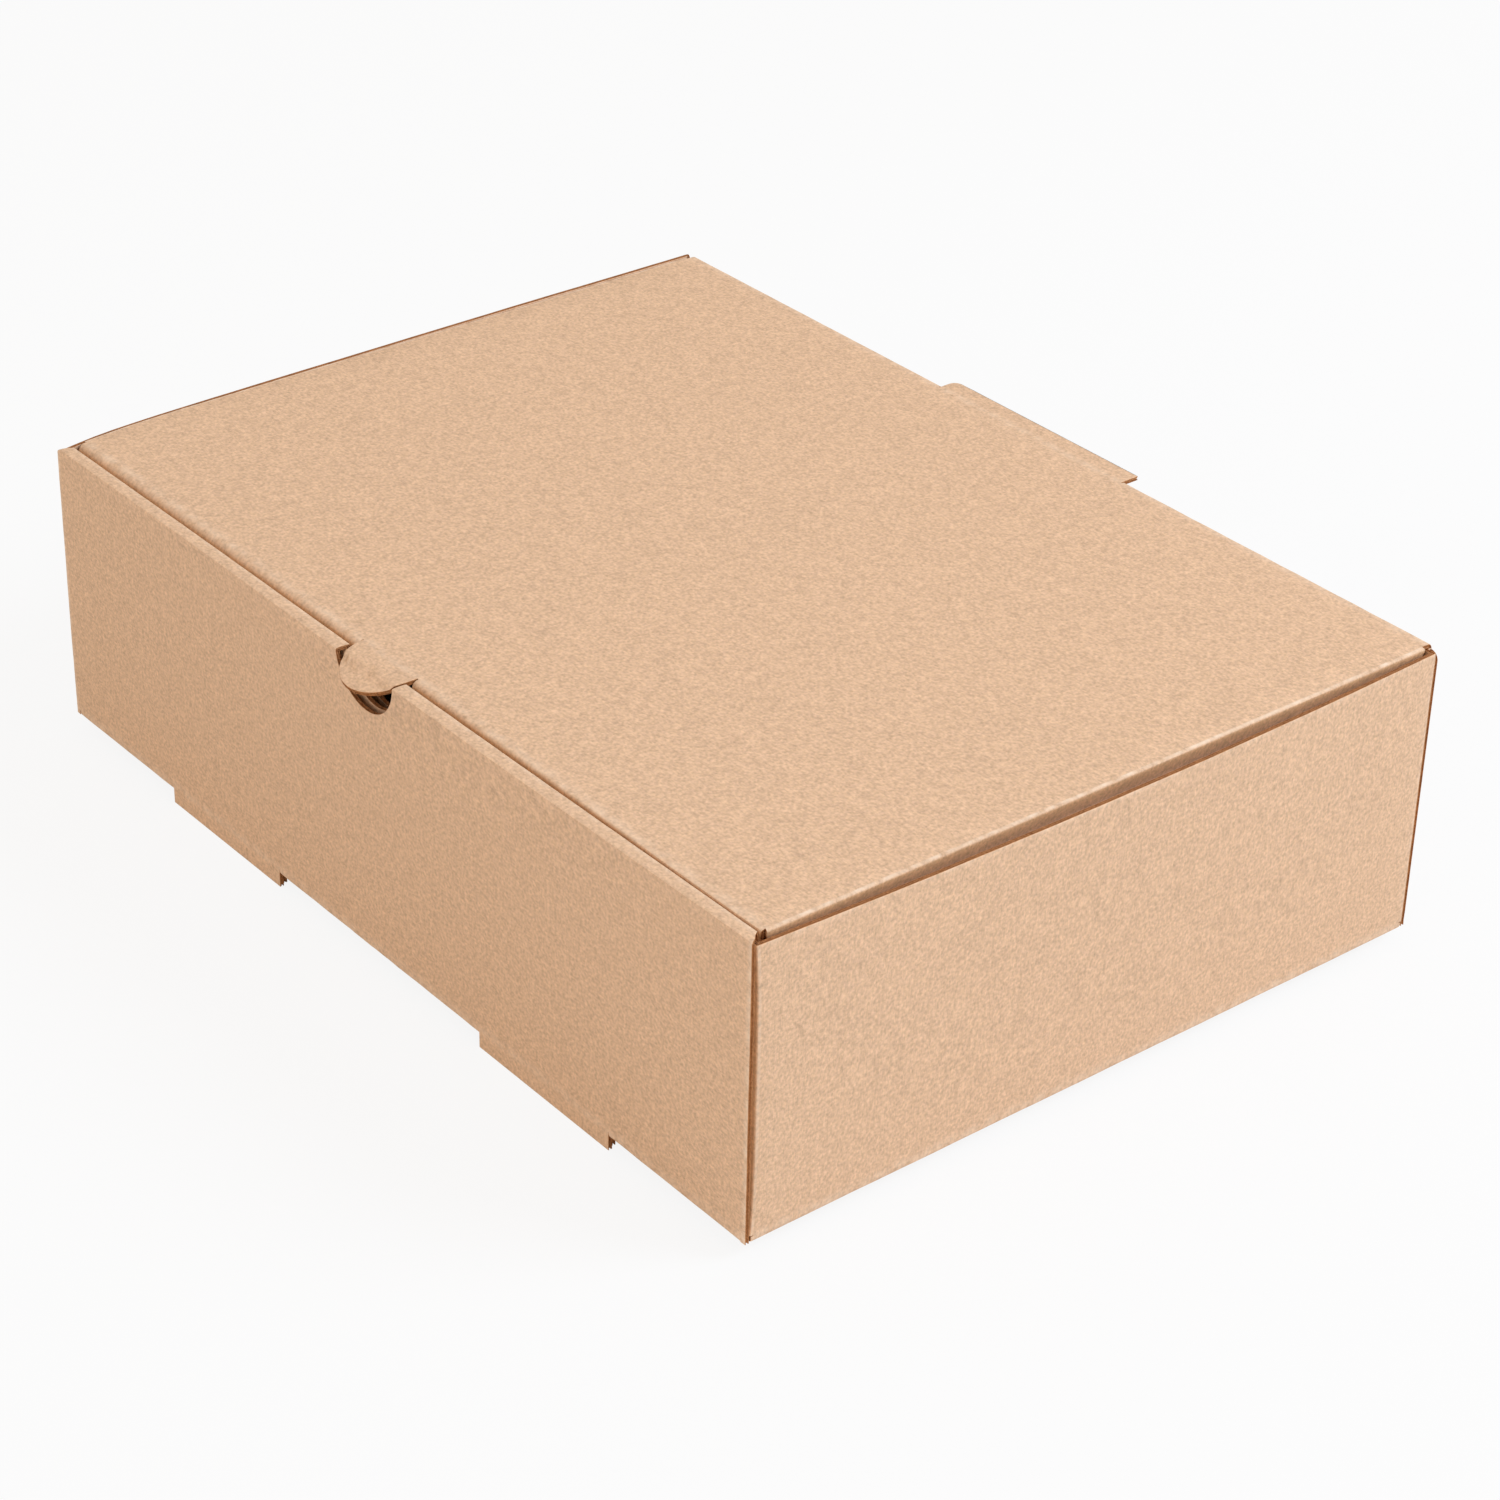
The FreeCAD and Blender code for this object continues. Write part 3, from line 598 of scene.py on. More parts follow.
def settle_tray(place):
    """The rolled front wall springs outwards. It moves by its bow times (1 - share^2)^2, where share is the
    distance from the bow's middle over its half length, with the fourth power of the height, and less where
    it is further in. The side walls' folds at the front corners give way inwards, by their recess times
    1 - (2 share of height - 1)^4. The front wall's left end leans in with the square of the height, and the
    end of its rolled top turns down with the square of the distance. The left wall keeps its bow on to the
    back corner, which leans out with it, and bows by 1 - (share of its length)^6 in front of its middle. Its
    top rises towards the back. The base stays."""
    x, y, z = place.T
    outside = -x - SIDE  # how far out from the left wall's foot
    risen = ramp(z, HEIGHT)
    behind_front = y > HALF - WALL
    moved = place.copy()

    bow = np.interp(-y, [INNER_FACE - ROLL_GIVE, INNER_FACE, FACE], [0, FRONT_ROLL_BOW, FRONT_BOW])
    moved[:, 1] -= bow * np.clip(1 - ((x - FRONT_BOW_MIDDLE) / FRONT_BOW_HALF) ** 2, 0, 1) ** 2 * risen**4

    near = ramp(-y - SIDE_END + CORNER_LENGTH, CORNER_LENGTH) ** 2
    corner = ramp(np.abs(x) - SIDE + EAR_FOLD_START, EAR_FOLD_WIDTH) * near
    ear = behind_front & (y < 0) & (z > BEND_FOOT)
    moved[:, 1] += EAR_RECESS * ear * corner * (1 - (2 * risen - 1) ** 4)
    left = ramp(outside + LEFT_LEAN_LENGTH, LEFT_LEAN_LENGTH) * near
    moved[:, 0] += LEFT_LEAN * left * risen**2

    rolled = (z > SIDE_TOP + SAME) | ((y < HALF - WALL) & (z > ROLL_CREASE - LEFT_DROP_DEPTH))
    end = ramp(outside + LEFT_DROP_LENGTH, LEFT_DROP_LENGTH) * rolled * (y < -INNER_FACE)
    moved[:, 2] -= LEFT_DROP * end**2

    share = np.clip(np.abs(y) / SIDE_END, 0, 1)
    kept = SIDE_BOW * (share**2 - share**6 * (y < 0))
    moved[:, 0] -= kept * risen * ramp(outside + LEFT_BOW_START, LEFT_BOW_LENGTH)

    rise = LEFT_RISE * ramp(y - LEFT_RISE_START, LEFT_RISE_LENGTH)
    rise = rise * ramp(SIDE_END + LEFT_RISE_PAST - y, LEFT_RISE_END) * behind_front * (z < SIDE_TOP + SAME)
    moved[:, 2] += rise * risen**4 * ramp(outside + LEFT_RISE_INSIDE, LEFT_RISE_WIDTH)
    return moved


def tray_wear_and_highlight(place):
    """Paler paper at the front panel's raw ends and along the side walls' rims, fading within a millimetre:
    partly wear, partly a painted highlight of the bright lines along those edges.
    """
    x, y, z = np.abs(place.T)
    ends = END_WEAR_AND_HIGHLIGHT * (place[:, 1] < SAME - WALL) * (x > SIDE - SAME)
    return ends + RIM_WEAR_AND_HIGHLIGHT * (y < SIDE_END) * np.exp(-((SIDE_TOP - z) ** 2)) * (x > BASE_SIDE)


# ------------------------------------------------------------ the lid

LID_PATH = Path(
    start=(WALL, CREASE),
    heading=90,
    runs=[
        bend(90),
        (BACK_FOLD + LID_FOLD, 0),  # over the top to the front
        bend(90 + TUCK_LEAN, CRISP_BEND, 0.0, 0.0),
        (TUCK_LENGTH, 0),  # down the tuck flap
    ],
    side=-1,
)
TUCK_START = LID_PATH.walk(LID_PATH.marks[3:4])[0][0, 1]  # height at which the tuck flap is straight
HOLE_ANGLE = np.arccos((HOLE_CENTRE - TUCK_START) / HOLE_RADIUS)
HOLE_HALF = HOLE_RADIUS * np.sin(HOLE_ANGLE)
HOLE_TOP_HALF = half_chord(HOLE_RADIUS, HOLE_CENTRE, TOP)
THUMB_ANGLE = np.radians(84.6)  # how far round the disc's edge runs, on either side of straight ahead
THUMB_HALF = THUMB_RADIUS * np.sin(THUMB_ANGLE)
LID_EDGES = [
    -LID_FLAT, -HINGE_SLOT_HALF, -HINGE_TAB_HALF, -HOLE_TOP_HALF, -THUMB_HALF,
    THUMB_HALF, HOLE_TOP_HALF, HINGE_TAB_HALF, HINGE_SLOT_HALF, LID_FLAT,
]
THUMB_LANE = 4
LID_SHARES = even_shares(LID_EDGES, THUMB_LANE, THUMB_ANGLE)
# Stations of y over the lid, which the dust flaps share
LID_ROWS = join(BACK_FOLD, BACK_FOLD - 1, beside_fold(DUST_BACK, -LID_FOLD, near_start=False))
HOLE_REST = 80.0  # the hole's panels end at this height


def top_and_tuck(lid):
    """Back fold, flat top, front fold and tuck flap: one strip carried along the lid's path. The front fold
    spreads along its corners' diagonals to meet the side folds."""
    mark = LID_PATH.marks
    lid.lanes(LID_PATH, np.linspace(0, mark[1], FOLD_ROWS), LID_EDGES, LID_SHARES, skip=range(1, 8))
    lid.lanes(LID_PATH, mark[1] + BACK_FOLD - LID_ROWS, LID_EDGES, LID_SHARES)

    rows = np.linspace(mark[2], mark[3], FINE_ROWS)
    edges = list(LID_EDGES)
    line = LID_PATH.walk(rows)[0]
    edges[6] = half_chord(HOLE_RADIUS, HOLE_CENTRE, line[:, 1])
    turned = (rows - mark[2]) / (mark[3] - mark[2])
    edges[9] = LID_FLAT + np.minimum(-line[:, 0] - LID_FOLD, SHARP_BEND) * (1 - turned**2)
    edges[0], edges[3] = -edges[9], -edges[6]
    lid.lanes(LID_PATH, rows, edges, LID_SHARES, skip=(3, 4, 5))

    below = mark[3] + (TUCK_START - HOLE_REST) / np.cos(np.radians(TUCK_LEAN))
    upper = beside_fold(mark[3], below, near_end=False)
    lower = join(spread(below, mark[4] - TUCK_CORNER), corner_stations(mark[4], TUCK_CORNER, 1, 8))
    hole_shares = list(LID_SHARES)
    hole_shares[THUMB_LANE] = circle_shares(HOLE_ANGLE)
    for rows, skip in ((upper, (3, 4, 5)), (lower, (3, 5))):
        edges = list(LID_EDGES)
        edges[3], edges[4], edges[5], edges[6] = -HOLE_HALF, -HOLE_HALF, HOLE_HALF, HOLE_HALF
        narrower = TUCK_TAPER * (rows - mark[3]) / TUCK_LENGTH
        edges[9] = LID_FLAT - narrower - rounded(mark[4] - rows, TUCK_CORNER)
        edges[0] = -edges[9]
        lid.lanes(LID_PATH, rows, edges, hole_shares, skip)
    round_cut(lid, LID_PATH, upper[::-1], HOLE_HALF, HOLE_RADIUS, HOLE_CENTRE, HOLE_ANGLE, TUCK_START)


def tabs(lid):
    """The thumb tab is a disc that carries the top on over the front wall and droops. The hinge tab carries
    it on over the back wall, with one rounded corner."""
    thumb = Path((-LID_FOLD, TOP), 180, [(THUMB_BEND, THUMB_DROOP), (THUMB_RADIUS, 0)], -1)
    turn = np.linspace(-THUMB_ANGLE, THUMB_ANGLE, CUT_STEPS + 1)
    root = HALF + CRISP_BEND - THUMB_RADIUS * np.cos(THUMB_ANGLE)
    reach = root + THUMB_RADIUS * np.cos(turn)
    along = np.linspace(0, 1, FINE_ROWS)[:, None] * reach
    lid.carry(thumb, along, np.broadcast_to(THUMB_RADIUS * np.sin(turn), along.shape), LID_PATH.marks[2])

    back = Path((BACK_FOLD, TOP), 0, [(HINGE_TAB_END - BACK_FOLD, 0)], 1)
    end = back.marks[1]
    rows = join(spread(0, end - HINGE_CORNER, TAB_STEP), corner_stations(end, HINGE_CORNER, 1))
    edges = list(LID_EDGES)
    edges[2] = -HINGE_TAB_HALF + rounded(end - rows, HINGE_CORNER)
    lid.lanes(back, rows, edges, LID_SHARES, skip=(0, 1, 7, 8))


def dust_flap(lid, way):
    """A flap turned down from the lid's side, which leans inwards a little before it hangs straight. Its
    two ends come nearer as it goes down, its corners are round, and its fold spreads at the front to meet
    the front fold."""
    fold = bend(-90 - DUST_LEAN, SHARP_BEND, SHARP_CRUSH, CROWN_HIGHLIGHT)
    runs = [fold, (DUST_KNEE, 0), bend(DUST_LEAN, DUST_KNEE)]
    knee = Path((LID_FLAT, TOP), 0, runs, 1)
    foot = knee.walk(knee.marks[-1:])[0][0, 1] - DUST_END
    path = Path((LID_FLAT, TOP), 0, runs + [(foot, 0)], 1)
    mark = path.marks
    upper = [spread(mark[level], mark[level + 1], step) for level, step in enumerate(KNEE_STEPS, 1)]
    lower = spread(mark[3], mark[4] - DUST_CORNER), corner_stations(mark[4], DUST_CORNER, 1)
    rows = join(np.linspace(0, mark[1], FINE_ROWS), *upper, *lower)[:, None]
    top = LID_ROWS[LID_ROWS < DUST_BACK + HAIR]
    down = np.maximum(rows - mark[1], 0)
    narrower = DUST_TAPER * down / down[-1] + rounded(mark[4] - rows, DUST_CORNER)
    share = (top - top[0]) / (top[-1] - top[0])
    turned = ramp(rows, mark[1]) * np.pi / 2
    spreads = SHARP_BEND * np.sin(turned) * (1 - ramp(down, DUST_KNEE))
    y = top[0] - narrower + share * (top[-1] - top[0] + 2 * narrower - spreads)
    lid.carry_aside(path, rows, y, way, LID_FLAT, LID_PATH.marks[1] + BACK_FOLD - y)


def settle_lid(place):
    """The lid's front fold is crushed towards its right end: there it comes out to its corner by the third
    power of sin (2 angle). Towards the left its radius grows: a point that has turned by an angle moves
    back by the growth times 1 - sin, and down by the growth times 1 - cos. The thumb tab stays level. The
    left side follows the bowed wall beside it."""
    x, y, z = place.T
    forward, up = -y - LID_FOLD, z - TOP + CRISP_BEND
    on_fold = np.abs(np.hypot(forward, up) - CRISP_BEND) < SAME
    on_tuck = (z < TUCK_START) & (forward > TUCK_INSET - TUCK_SLOPE * (TUCK_START - z))
    on_tab = smooth(ramp(forward, THUMB_REST)) * ~on_fold * (z > TUCK_START)
    angle = np.where(on_tuck, np.pi / 2, np.clip(np.arctan2(forward, up), 0, np.pi / 2) * on_fold)
    gap, growth = np.interp(x, *FRONT_GAPS), np.interp(x, *FRONT_GROWTH)
    crush = FRONT_CRUSH * smooth(ramp(x - FRONT_CRUSH_START, FRONT_CRUSH_LENGTH))
    out = crush * np.sin(2 * angle) ** 3 / np.sqrt(2)
    back = (gap + growth * (1 - np.sin(angle))) * ramp(-y - FRONT_GIVE_START, FRONT_GIVE_LENGTH)
    moved = place.copy()
    moved[:, 1] += back * (1 - on_tab) - out
    moved[:, 2] += out - growth * (1 - np.cos(angle))
    beside = SIDE_BOW * (1 - (np.clip(y, -SIDE_END, 0) / SIDE_END) ** 6)
    beside = beside * ramp(-x - LEFT_GIVE_START, LEFT_GIVE_LENGTH) * ramp(z - DUST_END, TOP - DUST_END)
    moved[:, 0] -= beside
    return moved


# ------------------------------------------------------------ board to mesh

# A cut edge down to the board's middle, as heights above it and depths into the board. Below, it is mirrored.
CUT_HALF = [
    (HALF, CUT_BEVEL),
    (HALF - 0.07, 0.05),
    (HALF - 0.15, 0.0),
    (HALF - LINER, 0.0),
    (HALF - LINER, CUT_DEPTH),
]
CUT_PROFILE = np.array(CUT_HALF + [(-height, depth) for height, depth in reversed(CUT_HALF)])
PAPER, CUT, FLUTE = 0, 1, 2  # material slots
FLUTE_STEP = 0.42  # how finely a flute's wave is followed
FLUTE_DEPTHS = np.array([0.1, 0.3, 0.5, 0.7])
WOBBLE = 0.07  # unevenness of a fold
WOBBLE_SLANT = 0.37  # its waves run along the flutes too, by this share
INWARD_LEAST = 0.3  # below this length, two cuts' directions into the board cancel out
MITRE_LEAST = 0.6  # at a corner the cut is no deeper than its depth over this
SHARP_ANGLE = 38.0  # degrees between faces that show as an edge
WELD, FINE_WELD = 0.002, 0.0005  # points that round to the same step of such a grid are one
WELD_SHIFT = 0.00037  # keeps round values off the borders between two steps of those grids


def weld(points, grain=WELD):
    """Points that are the same become one: which point stands for each, and each point's new number."""
    keys = np.round((points + WELD_SHIFT) / grain).astype(np.int64)
    _, first, number = np.unique(keys, axis=0, return_index=True, return_inverse=True)
    return first, number.ravel()


def uneven(across):
    """A fold's slight unevenness along its line, from -1 to 1: three waves of lengths that never agree."""
    waves = np.sin(across * 0.31) + 0.7 * np.sin(across * 0.83 + 1.3) + 0.5 * np.sin(across * 2.1 + 0.4)
    return waves / 2.2


def board_mesh(board, settle, wear, joined):
    """The board's skins, its cut edges and the fluted paper that shows in them, as vertices, sheet
    coordinates, quads and material slots. A skin lies half a thickness from the middle surface, a cut edge
    follows CUT_PROFILE, and joined says which border points carry on into another piece and have no cut."""
    place, normal = np.concatenate(board.places), np.concatenate(board.normals)
    across, sheet = np.concatenate(board.across), np.concatenate(board.sheets)
    quads = np.concatenate(board.quads)
    first, number = weld(place)
    place, normal, across, sheet = (values[first] for values in (place, normal, across, sheet))
    quads = number[quads]
    goes_on = joined(place)
    # extra wear, with the painted edge highlight that comes with it, adds to the sheet's third coordinate
    if wear:
        sheet = sheet + np.array([0.0, 0.0, 1.0]) * wear(place)[:, None]
    place = settle(place)
    waves = uneven(sheet[:, 0] + WOBBLE_SLANT * sheet[:, 1]) - 1
    place = place + normal * (WOBBLE * waves * np.clip(sheet[:, 2], 0, 1))[:, None]

    start = quads.ravel()
    end = np.roll(quads, -1, axis=1).ravel()
    total = len(place)
    lone = ~np.isin(start * total + end, end * total + start)
    start, end = start[lone], end[lone]
    open_cut = ~(goes_on[start] & goes_on[end])
    way = place[end] - place[start]
    inward = np.cross(normal[start] + normal[end], way)
    inward /= np.maximum(np.linalg.norm(inward, axis=1, keepdims=True), HAIR)
    way /= np.linalg.norm(way, axis=1, keepdims=True)
    into, ahead = np.zeros_like(place), np.zeros_like(place)
    for side, sign in ((start, -1), (end, 1)):
        np.add.at(into, side[open_cut], inward[open_cut])
        np.add.at(ahead, side[open_cut], sign * way[open_cut])
    length = np.linalg.norm(into, axis=1, keepdims=True)
    starts, ends = (np.isin(np.arange(total), side[open_cut]) for side in (start, end))
    stretch = np.where((starts & ends)[:, None], np.maximum(length / 2, MITRE_LEAST), 1)
    ahead /= np.maximum(np.linalg.norm(ahead, axis=1, keepdims=True), HAIR)
    into = np.where(length > INWARD_LEAST, into / np.maximum(length, HAIR) / stretch, ahead)
    into[~(starts | ends)] = 0

    rim = np.unique(np.concatenate([start, end]))
    place_in_rim = np.zeros(total, int)
    place_in_rim[rim] = np.arange(len(rim))
    skins = [place + normal * height + into * CUT_BEVEL for height in (HALF, -HALF)]
    rings = [place[rim] + normal[rim] * height + into[rim] * depth for height, depth in CUT_PROFILE[1:-1]]
    points = np.concatenate(skins + rings)
    sheets = np.concatenate([sheet, sheet] + [sheet[rim]] * len(rings))
    last = len(CUT_PROFILE) - 1

    def ring(level, which):
        if level == 0:
            return which
        if level == last:
            return total + which
        return 2 * total + (level - 1) * len(rim) + place_in_rim[which]

    faces, slots = [quads, quads[:, ::-1] + total], [np.full(2 * len(quads), PAPER)]
    for level in range(last):
        above, below = [ring(level, end), ring(level, start)], [ring(level + 1, start), ring(level + 1, end)]
        faces.append(np.stack(above + below, 1))
        slots.append(np.full(len(start), PAPER if level in (0, last - 1) else CUT))

    wave = fluted_paper(place, normal, across, sheet, into, start[open_cut], end[open_cut])
    faces.append(wave[2] + len(points))
    slots.append(np.full(len(wave[2]), FLUTE))
    parts = [points, wave[0]], [sheets, wave[1]], faces, slots
    return [np.concatenate(part) for part in parts]


def fluted_paper(place, normal, across, sheet, into, start, end):
    """The wavy paper inside the board, as far as it shows at the cut edges: a closed ribbon whose height
    above the board's middle is its amplitude times the sine of the distance across the flutes."""
    parts = np.maximum(1, np.ceil(np.abs(sheet[end, 0] - sheet[start, 0]) / FLUTE_STEP)).astype(int)
    edge = np.repeat(np.arange(len(start)), parts)
    step = np.arange(len(edge)) - np.repeat(np.cumsum(parts) - parts, parts)
    amplitude = HALF - LINER - FLUTE_PAPER / 2

    def stretch_of(share):
        """Points (segments, depths, faces, 3) and their sheet coordinates at a share of each cut edge."""
        a, b, share = start[edge], end[edge], share[:, None]

        def mixed(values):
            return values[a] * (1 - share) + values[b] * share

        inner = mixed(into)
        middle = mixed(place)[:, None] + inner[:, None] * FLUTE_DEPTHS[:, None]
        reached = mixed(sheet)[:, 0, None] + (inner * mixed(across)).sum(1)[:, None] * FLUTE_DEPTHS
        height = amplitude * np.sin(2 * np.pi * reached / FLUTE_PITCH)
        faces = height[..., None] + np.array([0.5, -0.5]) * FLUTE_PAPER
        points = middle[:, :, None] + mixed(normal)[:, None, None] * faces[..., None]
        return points, np.broadcast_to(mixed(sheet)[:, None, None], points.shape)

    ends = [stretch_of(share) for share in (step / parts[edge], (step + 1) / parts[edge])]
    points = np.concatenate([found[0].reshape(-1, 3) for found in ends])
    sheets = np.concatenate([found[1].reshape(-1, 3) for found in ends])
    first, number = weld(points, FINE_WELD)
    near, far = number.reshape(2, len(edge), len(FLUTE_DEPTHS), 2)
    levels = [(level, level + 1) for level in range(len(FLUTE_DEPTHS) - 1)]
    quads = []
    for this, deeper in levels:
        top = np.stack([near[:, this, 0], far[:, this, 0], far[:, deeper, 0], near[:, deeper, 0]], 1)
        low = np.stack([near[:, deeper, 1], far[:, deeper, 1], far[:, this, 1], near[:, this, 1]], 1)
        quads += [top, low]
    quads.append(np.stack([far[:, 0, 0], near[:, 0, 0], near[:, 0, 1], far[:, 0, 1]], 1))
    quads.append(np.stack([near[:, -1, 0], far[:, -1, 0], far[:, -1, 1], near[:, -1, 1]], 1))
    for rows, others, order in ((near, far, 1), (far, near, -1)):
        loose = rows[~np.isin(rows[:, 0, 0], others[:, 0, 0])]
        for this, deeper in levels:
            cap = [loose[:, this, 0], loose[:, deeper, 0], loose[:, deeper, 1], loose[:, this, 1]]
            quads.append(np.stack(cap[::order], 1))
    return points[first], sheets[first], np.concatenate(quads)


def make_piece(name, points, sheets, quads, slots, finishes):
    """A Blender mesh from points in millimetres. A quad that has lost a corner becomes a triangle, and one
    that has lost two is left out."""
    distinct = quads != np.roll(quads, 1, axis=1)
    sides = distinct.sum(1)
    kept = sides >= 3
    quads, slots, distinct, sides = quads[kept], slots[kept], distinct[kept], sides[kept]
    corners = quads[distinct]
    mesh = bpy.data.meshes.new(name)
    mesh.vertices.add(len(points))
    mesh.vertices.foreach_set("co", ((points + ORIGIN) * MM).astype(np.float32).ravel())
    mesh.loops.add(len(corners))
    mesh.loops.foreach_set("vertex_index", corners.astype(np.int32))
    mesh.polygons.add(len(quads))
    mesh.polygons.foreach_set("loop_start", np.concatenate([[0], np.cumsum(sides)[:-1]]).astype(np.int32))
    mesh.polygons.foreach_set("material_index", slots.astype(np.int32))
    mesh.polygons.foreach_set("use_smooth", np.ones(len(quads), bool))
    mesh.update(calc_edges=True)
    sheet = mesh.attributes.new("sheet", "FLOAT_VECTOR", "POINT")
    sheet.data.foreach_set("vector", sheets.astype(np.float32).ravel())
    mesh.set_sharp_from_angle(angle=np.radians(SHARP_ANGLE))
    for finish in finishes:
        mesh.materials.append(finish)
    mesh.validate()
    piece = bpy.data.objects.new(name, mesh)
    bpy.context.scene.collection.objects.link(piece)
    return piece


# ------------------------------------------------------------ finishes


class Nodes:
    """A tree of shader nodes, written from the pattern to the output."""

    def __init__(self, owner):
        owner.use_nodes = True
        self.tree = owner.node_tree

    def node(self, kind, inputs=(), **settings):
        """A node with its settings and inputs: an input is a value, or another node's output."""
        made = self.tree.nodes.new(kind)
        for name, value in settings.items():
            setattr(made, name, value)
        for name, value in dict(inputs).items():
            self.feed(made.inputs[name], value)
        return made

    def feed(self, socket, value):
        if isinstance(value, bpy.types.NodeSocket):
            self.tree.links.new(value, socket)
        else:
            socket.default_value = value

    def math(self, operation, first, second=0.0, third=0.0):
        made = self.node("ShaderNodeMath", {0: first, 1: second, 2: third}, operation=operation)
        return made.outputs[0]

    def output(self, kind, share, first, second):
        """Ends the tree in a mix of two shaders, each given as a kind of node and its inputs."""
        shaders = [self.node(*shader).outputs[0] for shader in (first, second)]
        mix = self.node("ShaderNodeMixShader", {0: share, 1: shaders[0], 2: shaders[1]})
        self.node(kind, {0: mix.outputs[0]})

    def camera_sees(self):
        """A factor that is 1 for the camera's own rays and for those that a gloss or a glass sends on."""
        rays = self.node("ShaderNodeLightPath").outputs
        seen = self.math("MAXIMUM", rays["Is Camera Ray"], rays["Is Glossy Ray"])
        return self.math("MAXIMUM", seen, rays["Is Transmission Ray"])


class Finish(Nodes):
    """A material's nodes, which end in its shader."""

    def __init__(self, name, gloss):
        self.material = bpy.data.materials.new(name)
        super().__init__(self.material)
        self.shader = self.tree.nodes["Principled BSDF"]
        self.shader.inputs["Specular IOR Level"].default_value = gloss
        self.place = self.node("ShaderNodeTexCoord").outputs["Object"]

    def noise(self, place, scale, detail=2.0, roughness=0.5):
        """Soft noise from 0 to 1, at so many lumps a metre."""
        inputs = {"Vector": place, "Scale": scale, "Detail": detail, "Roughness": roughness}
        return self.node("ShaderNodeTexNoise", inputs).outputs["Fac"]

    def stretched(self, place, scale):
        return self.node("ShaderNodeMapping", {"Vector": place, "Scale": scale}).outputs["Vector"]

    def span(self, value, low, high, to_low=0.0, to_high=1.0):
        """value from low..high carried to to_low..to_high, and held there beyond."""
        inputs = {"Value": value, "From Min": low, "From Max": high, "To Min": to_low, "To Max": to_high}
        return self.node("ShaderNodeMapRange", inputs).outputs["Result"]

    def mixed(self, share, first, second, blend="MIX"):
        inputs = {"Factor": share, 6: first, 7: second}
        return self.node("ShaderNodeMix", inputs, data_type="RGBA", blend_type=blend).outputs[2]

    def finished(self, colour, roughness, relief, strength, distance):
        """The material, with relief as a bump so high in metres, of so much strength."""
        bump = self.node("ShaderNodeBump", {"Height": relief, "Strength": strength, "Distance": distance})
        inputs = {"Base Color": colour, "Roughness": roughness, "Normal": bump.outputs["Normal"]}
        for name, value in inputs.items():
            self.feed(self.shader.inputs[name], value)
        return self.material


def linear(red, green, blue):
    """A colour written in screen values from 0 to 255, as the light it stands for."""
    share = np.array([red, green, blue]) / 255
    light = np.where(share <= 0.04045, share / 12.92, ((share + 0.055) / 1.055) ** 2.4)
    return (*light.tolist(), 1.0)


PAPER_YELLOW = linear(243, 203, 164)
PAPER_PINK = linear(242, 202, 167)
PAPER_FLECK = linear(150, 106, 72)
# pale paper for wear at folds, rims and raw ends, also used for painted highlights on fold crowns and edges
PAPER_WORN_AND_HIGHLIGHT = linear(250, 228, 204)
GAP_SHADE_TINT = (0.96, 0.90, 0.78, 1.0)  # painted shade: what is left of the colour in a gap where board lies close to board


def kraft_paper():
    """Brown recycled liner: a mottle of pale and brown fibres, a few dark flecks, folds paler from wear,
    painted highlights on some fold crowns and edges, and painted shade in the gaps beside folds.
    """
    finish = Finish("kraft_liner", 0.3)
    place = finish.place
    sheet = finish.node("ShaderNodeAttribute", attribute_name="sheet").outputs["Vector"]
    crease = finish.node("ShaderNodeSeparateXYZ", {"Vector": sheet}).outputs["Z"]
    mottle = finish.noise(place, 900.0, 3.0, 0.56)
    cloud = finish.noise(place, 260.0, 2.0, 0.5)
    tint = finish.noise(finish.stretched(place, (1.0, 1.3, 1.3)), 640.0, 3.0, 0.6)
    fibre = finish.noise(finish.stretched(sheet, (0.45, 1.9, 1.0)), 1.1, 2.0, 0.6)
    shade = finish.math("MULTIPLY_ADD", cloud, 0.28, finish.math("MULTIPLY_ADD", fibre, 0.45, mottle))
    tone = finish.mixed(finish.span(tint, 0.34, 0.66), PAPER_YELLOW, PAPER_PINK)
    colour = finish.mixed(1.0, tone, finish.span(shade, 0.515, 1.135, 0.58, 1.05), "MULTIPLY")
    fleck = finish.noise(finish.stretched(place, (0.7, 1.6, 1.6)), 1500.0, 1.0, 0.5)
    colour = finish.mixed(finish.span(fleck, 0.68, 0.78, 0.0, 0.35), colour, PAPER_FLECK)
    # paler paper at folds, rims and raw ends: partly wear, partly painted highlight on fold crowns and bright
    # edges
    wear_and_painted_light = finish.math("MULTIPLY", finish.math("MAXIMUM", crease), finish.span(cloud, 0.3, 0.7, 0.0, 0.3))
    colour = finish.mixed(wear_and_painted_light, colour, PAPER_WORN_AND_HIGHLIGHT)
    # painted shade: where the sheet's third coordinate goes below 0, the far side of a fold that turns into a
    # gap is darkened by the gap tint
    colour = finish.mixed(finish.span(crease, -1.0, 0.0, 1.0, 0.0), colour, GAP_SHADE_TINT, "MULTIPLY")
    return finish.finished(colour, finish.span(mottle, 0.3, 0.7, 0.78, 0.9), shade, 0.15, 0.00012)


def cut_paper():
    """The papers' cut edges: darker brown, torn into short fibres."""
    finish = Finish("cut_board_edge", 0.2)
    fibre = finish.noise(finish.place, 1400.0, 3.0, 0.7)
    patch = finish.noise(finish.place, 240.0, 1.0, 0.5)
    colour = finish.mixed(finish.span(fibre, 0.3, 0.7), linear(152, 94, 52), linear(214, 154, 100))
    colour = finish.mixed(finish.span(patch, 0.35, 0.65, 0.0, 0.35), colour, linear(120, 72, 40))
    return finish.finished(colour, 0.92, fibre, 0.6, 0.0001)


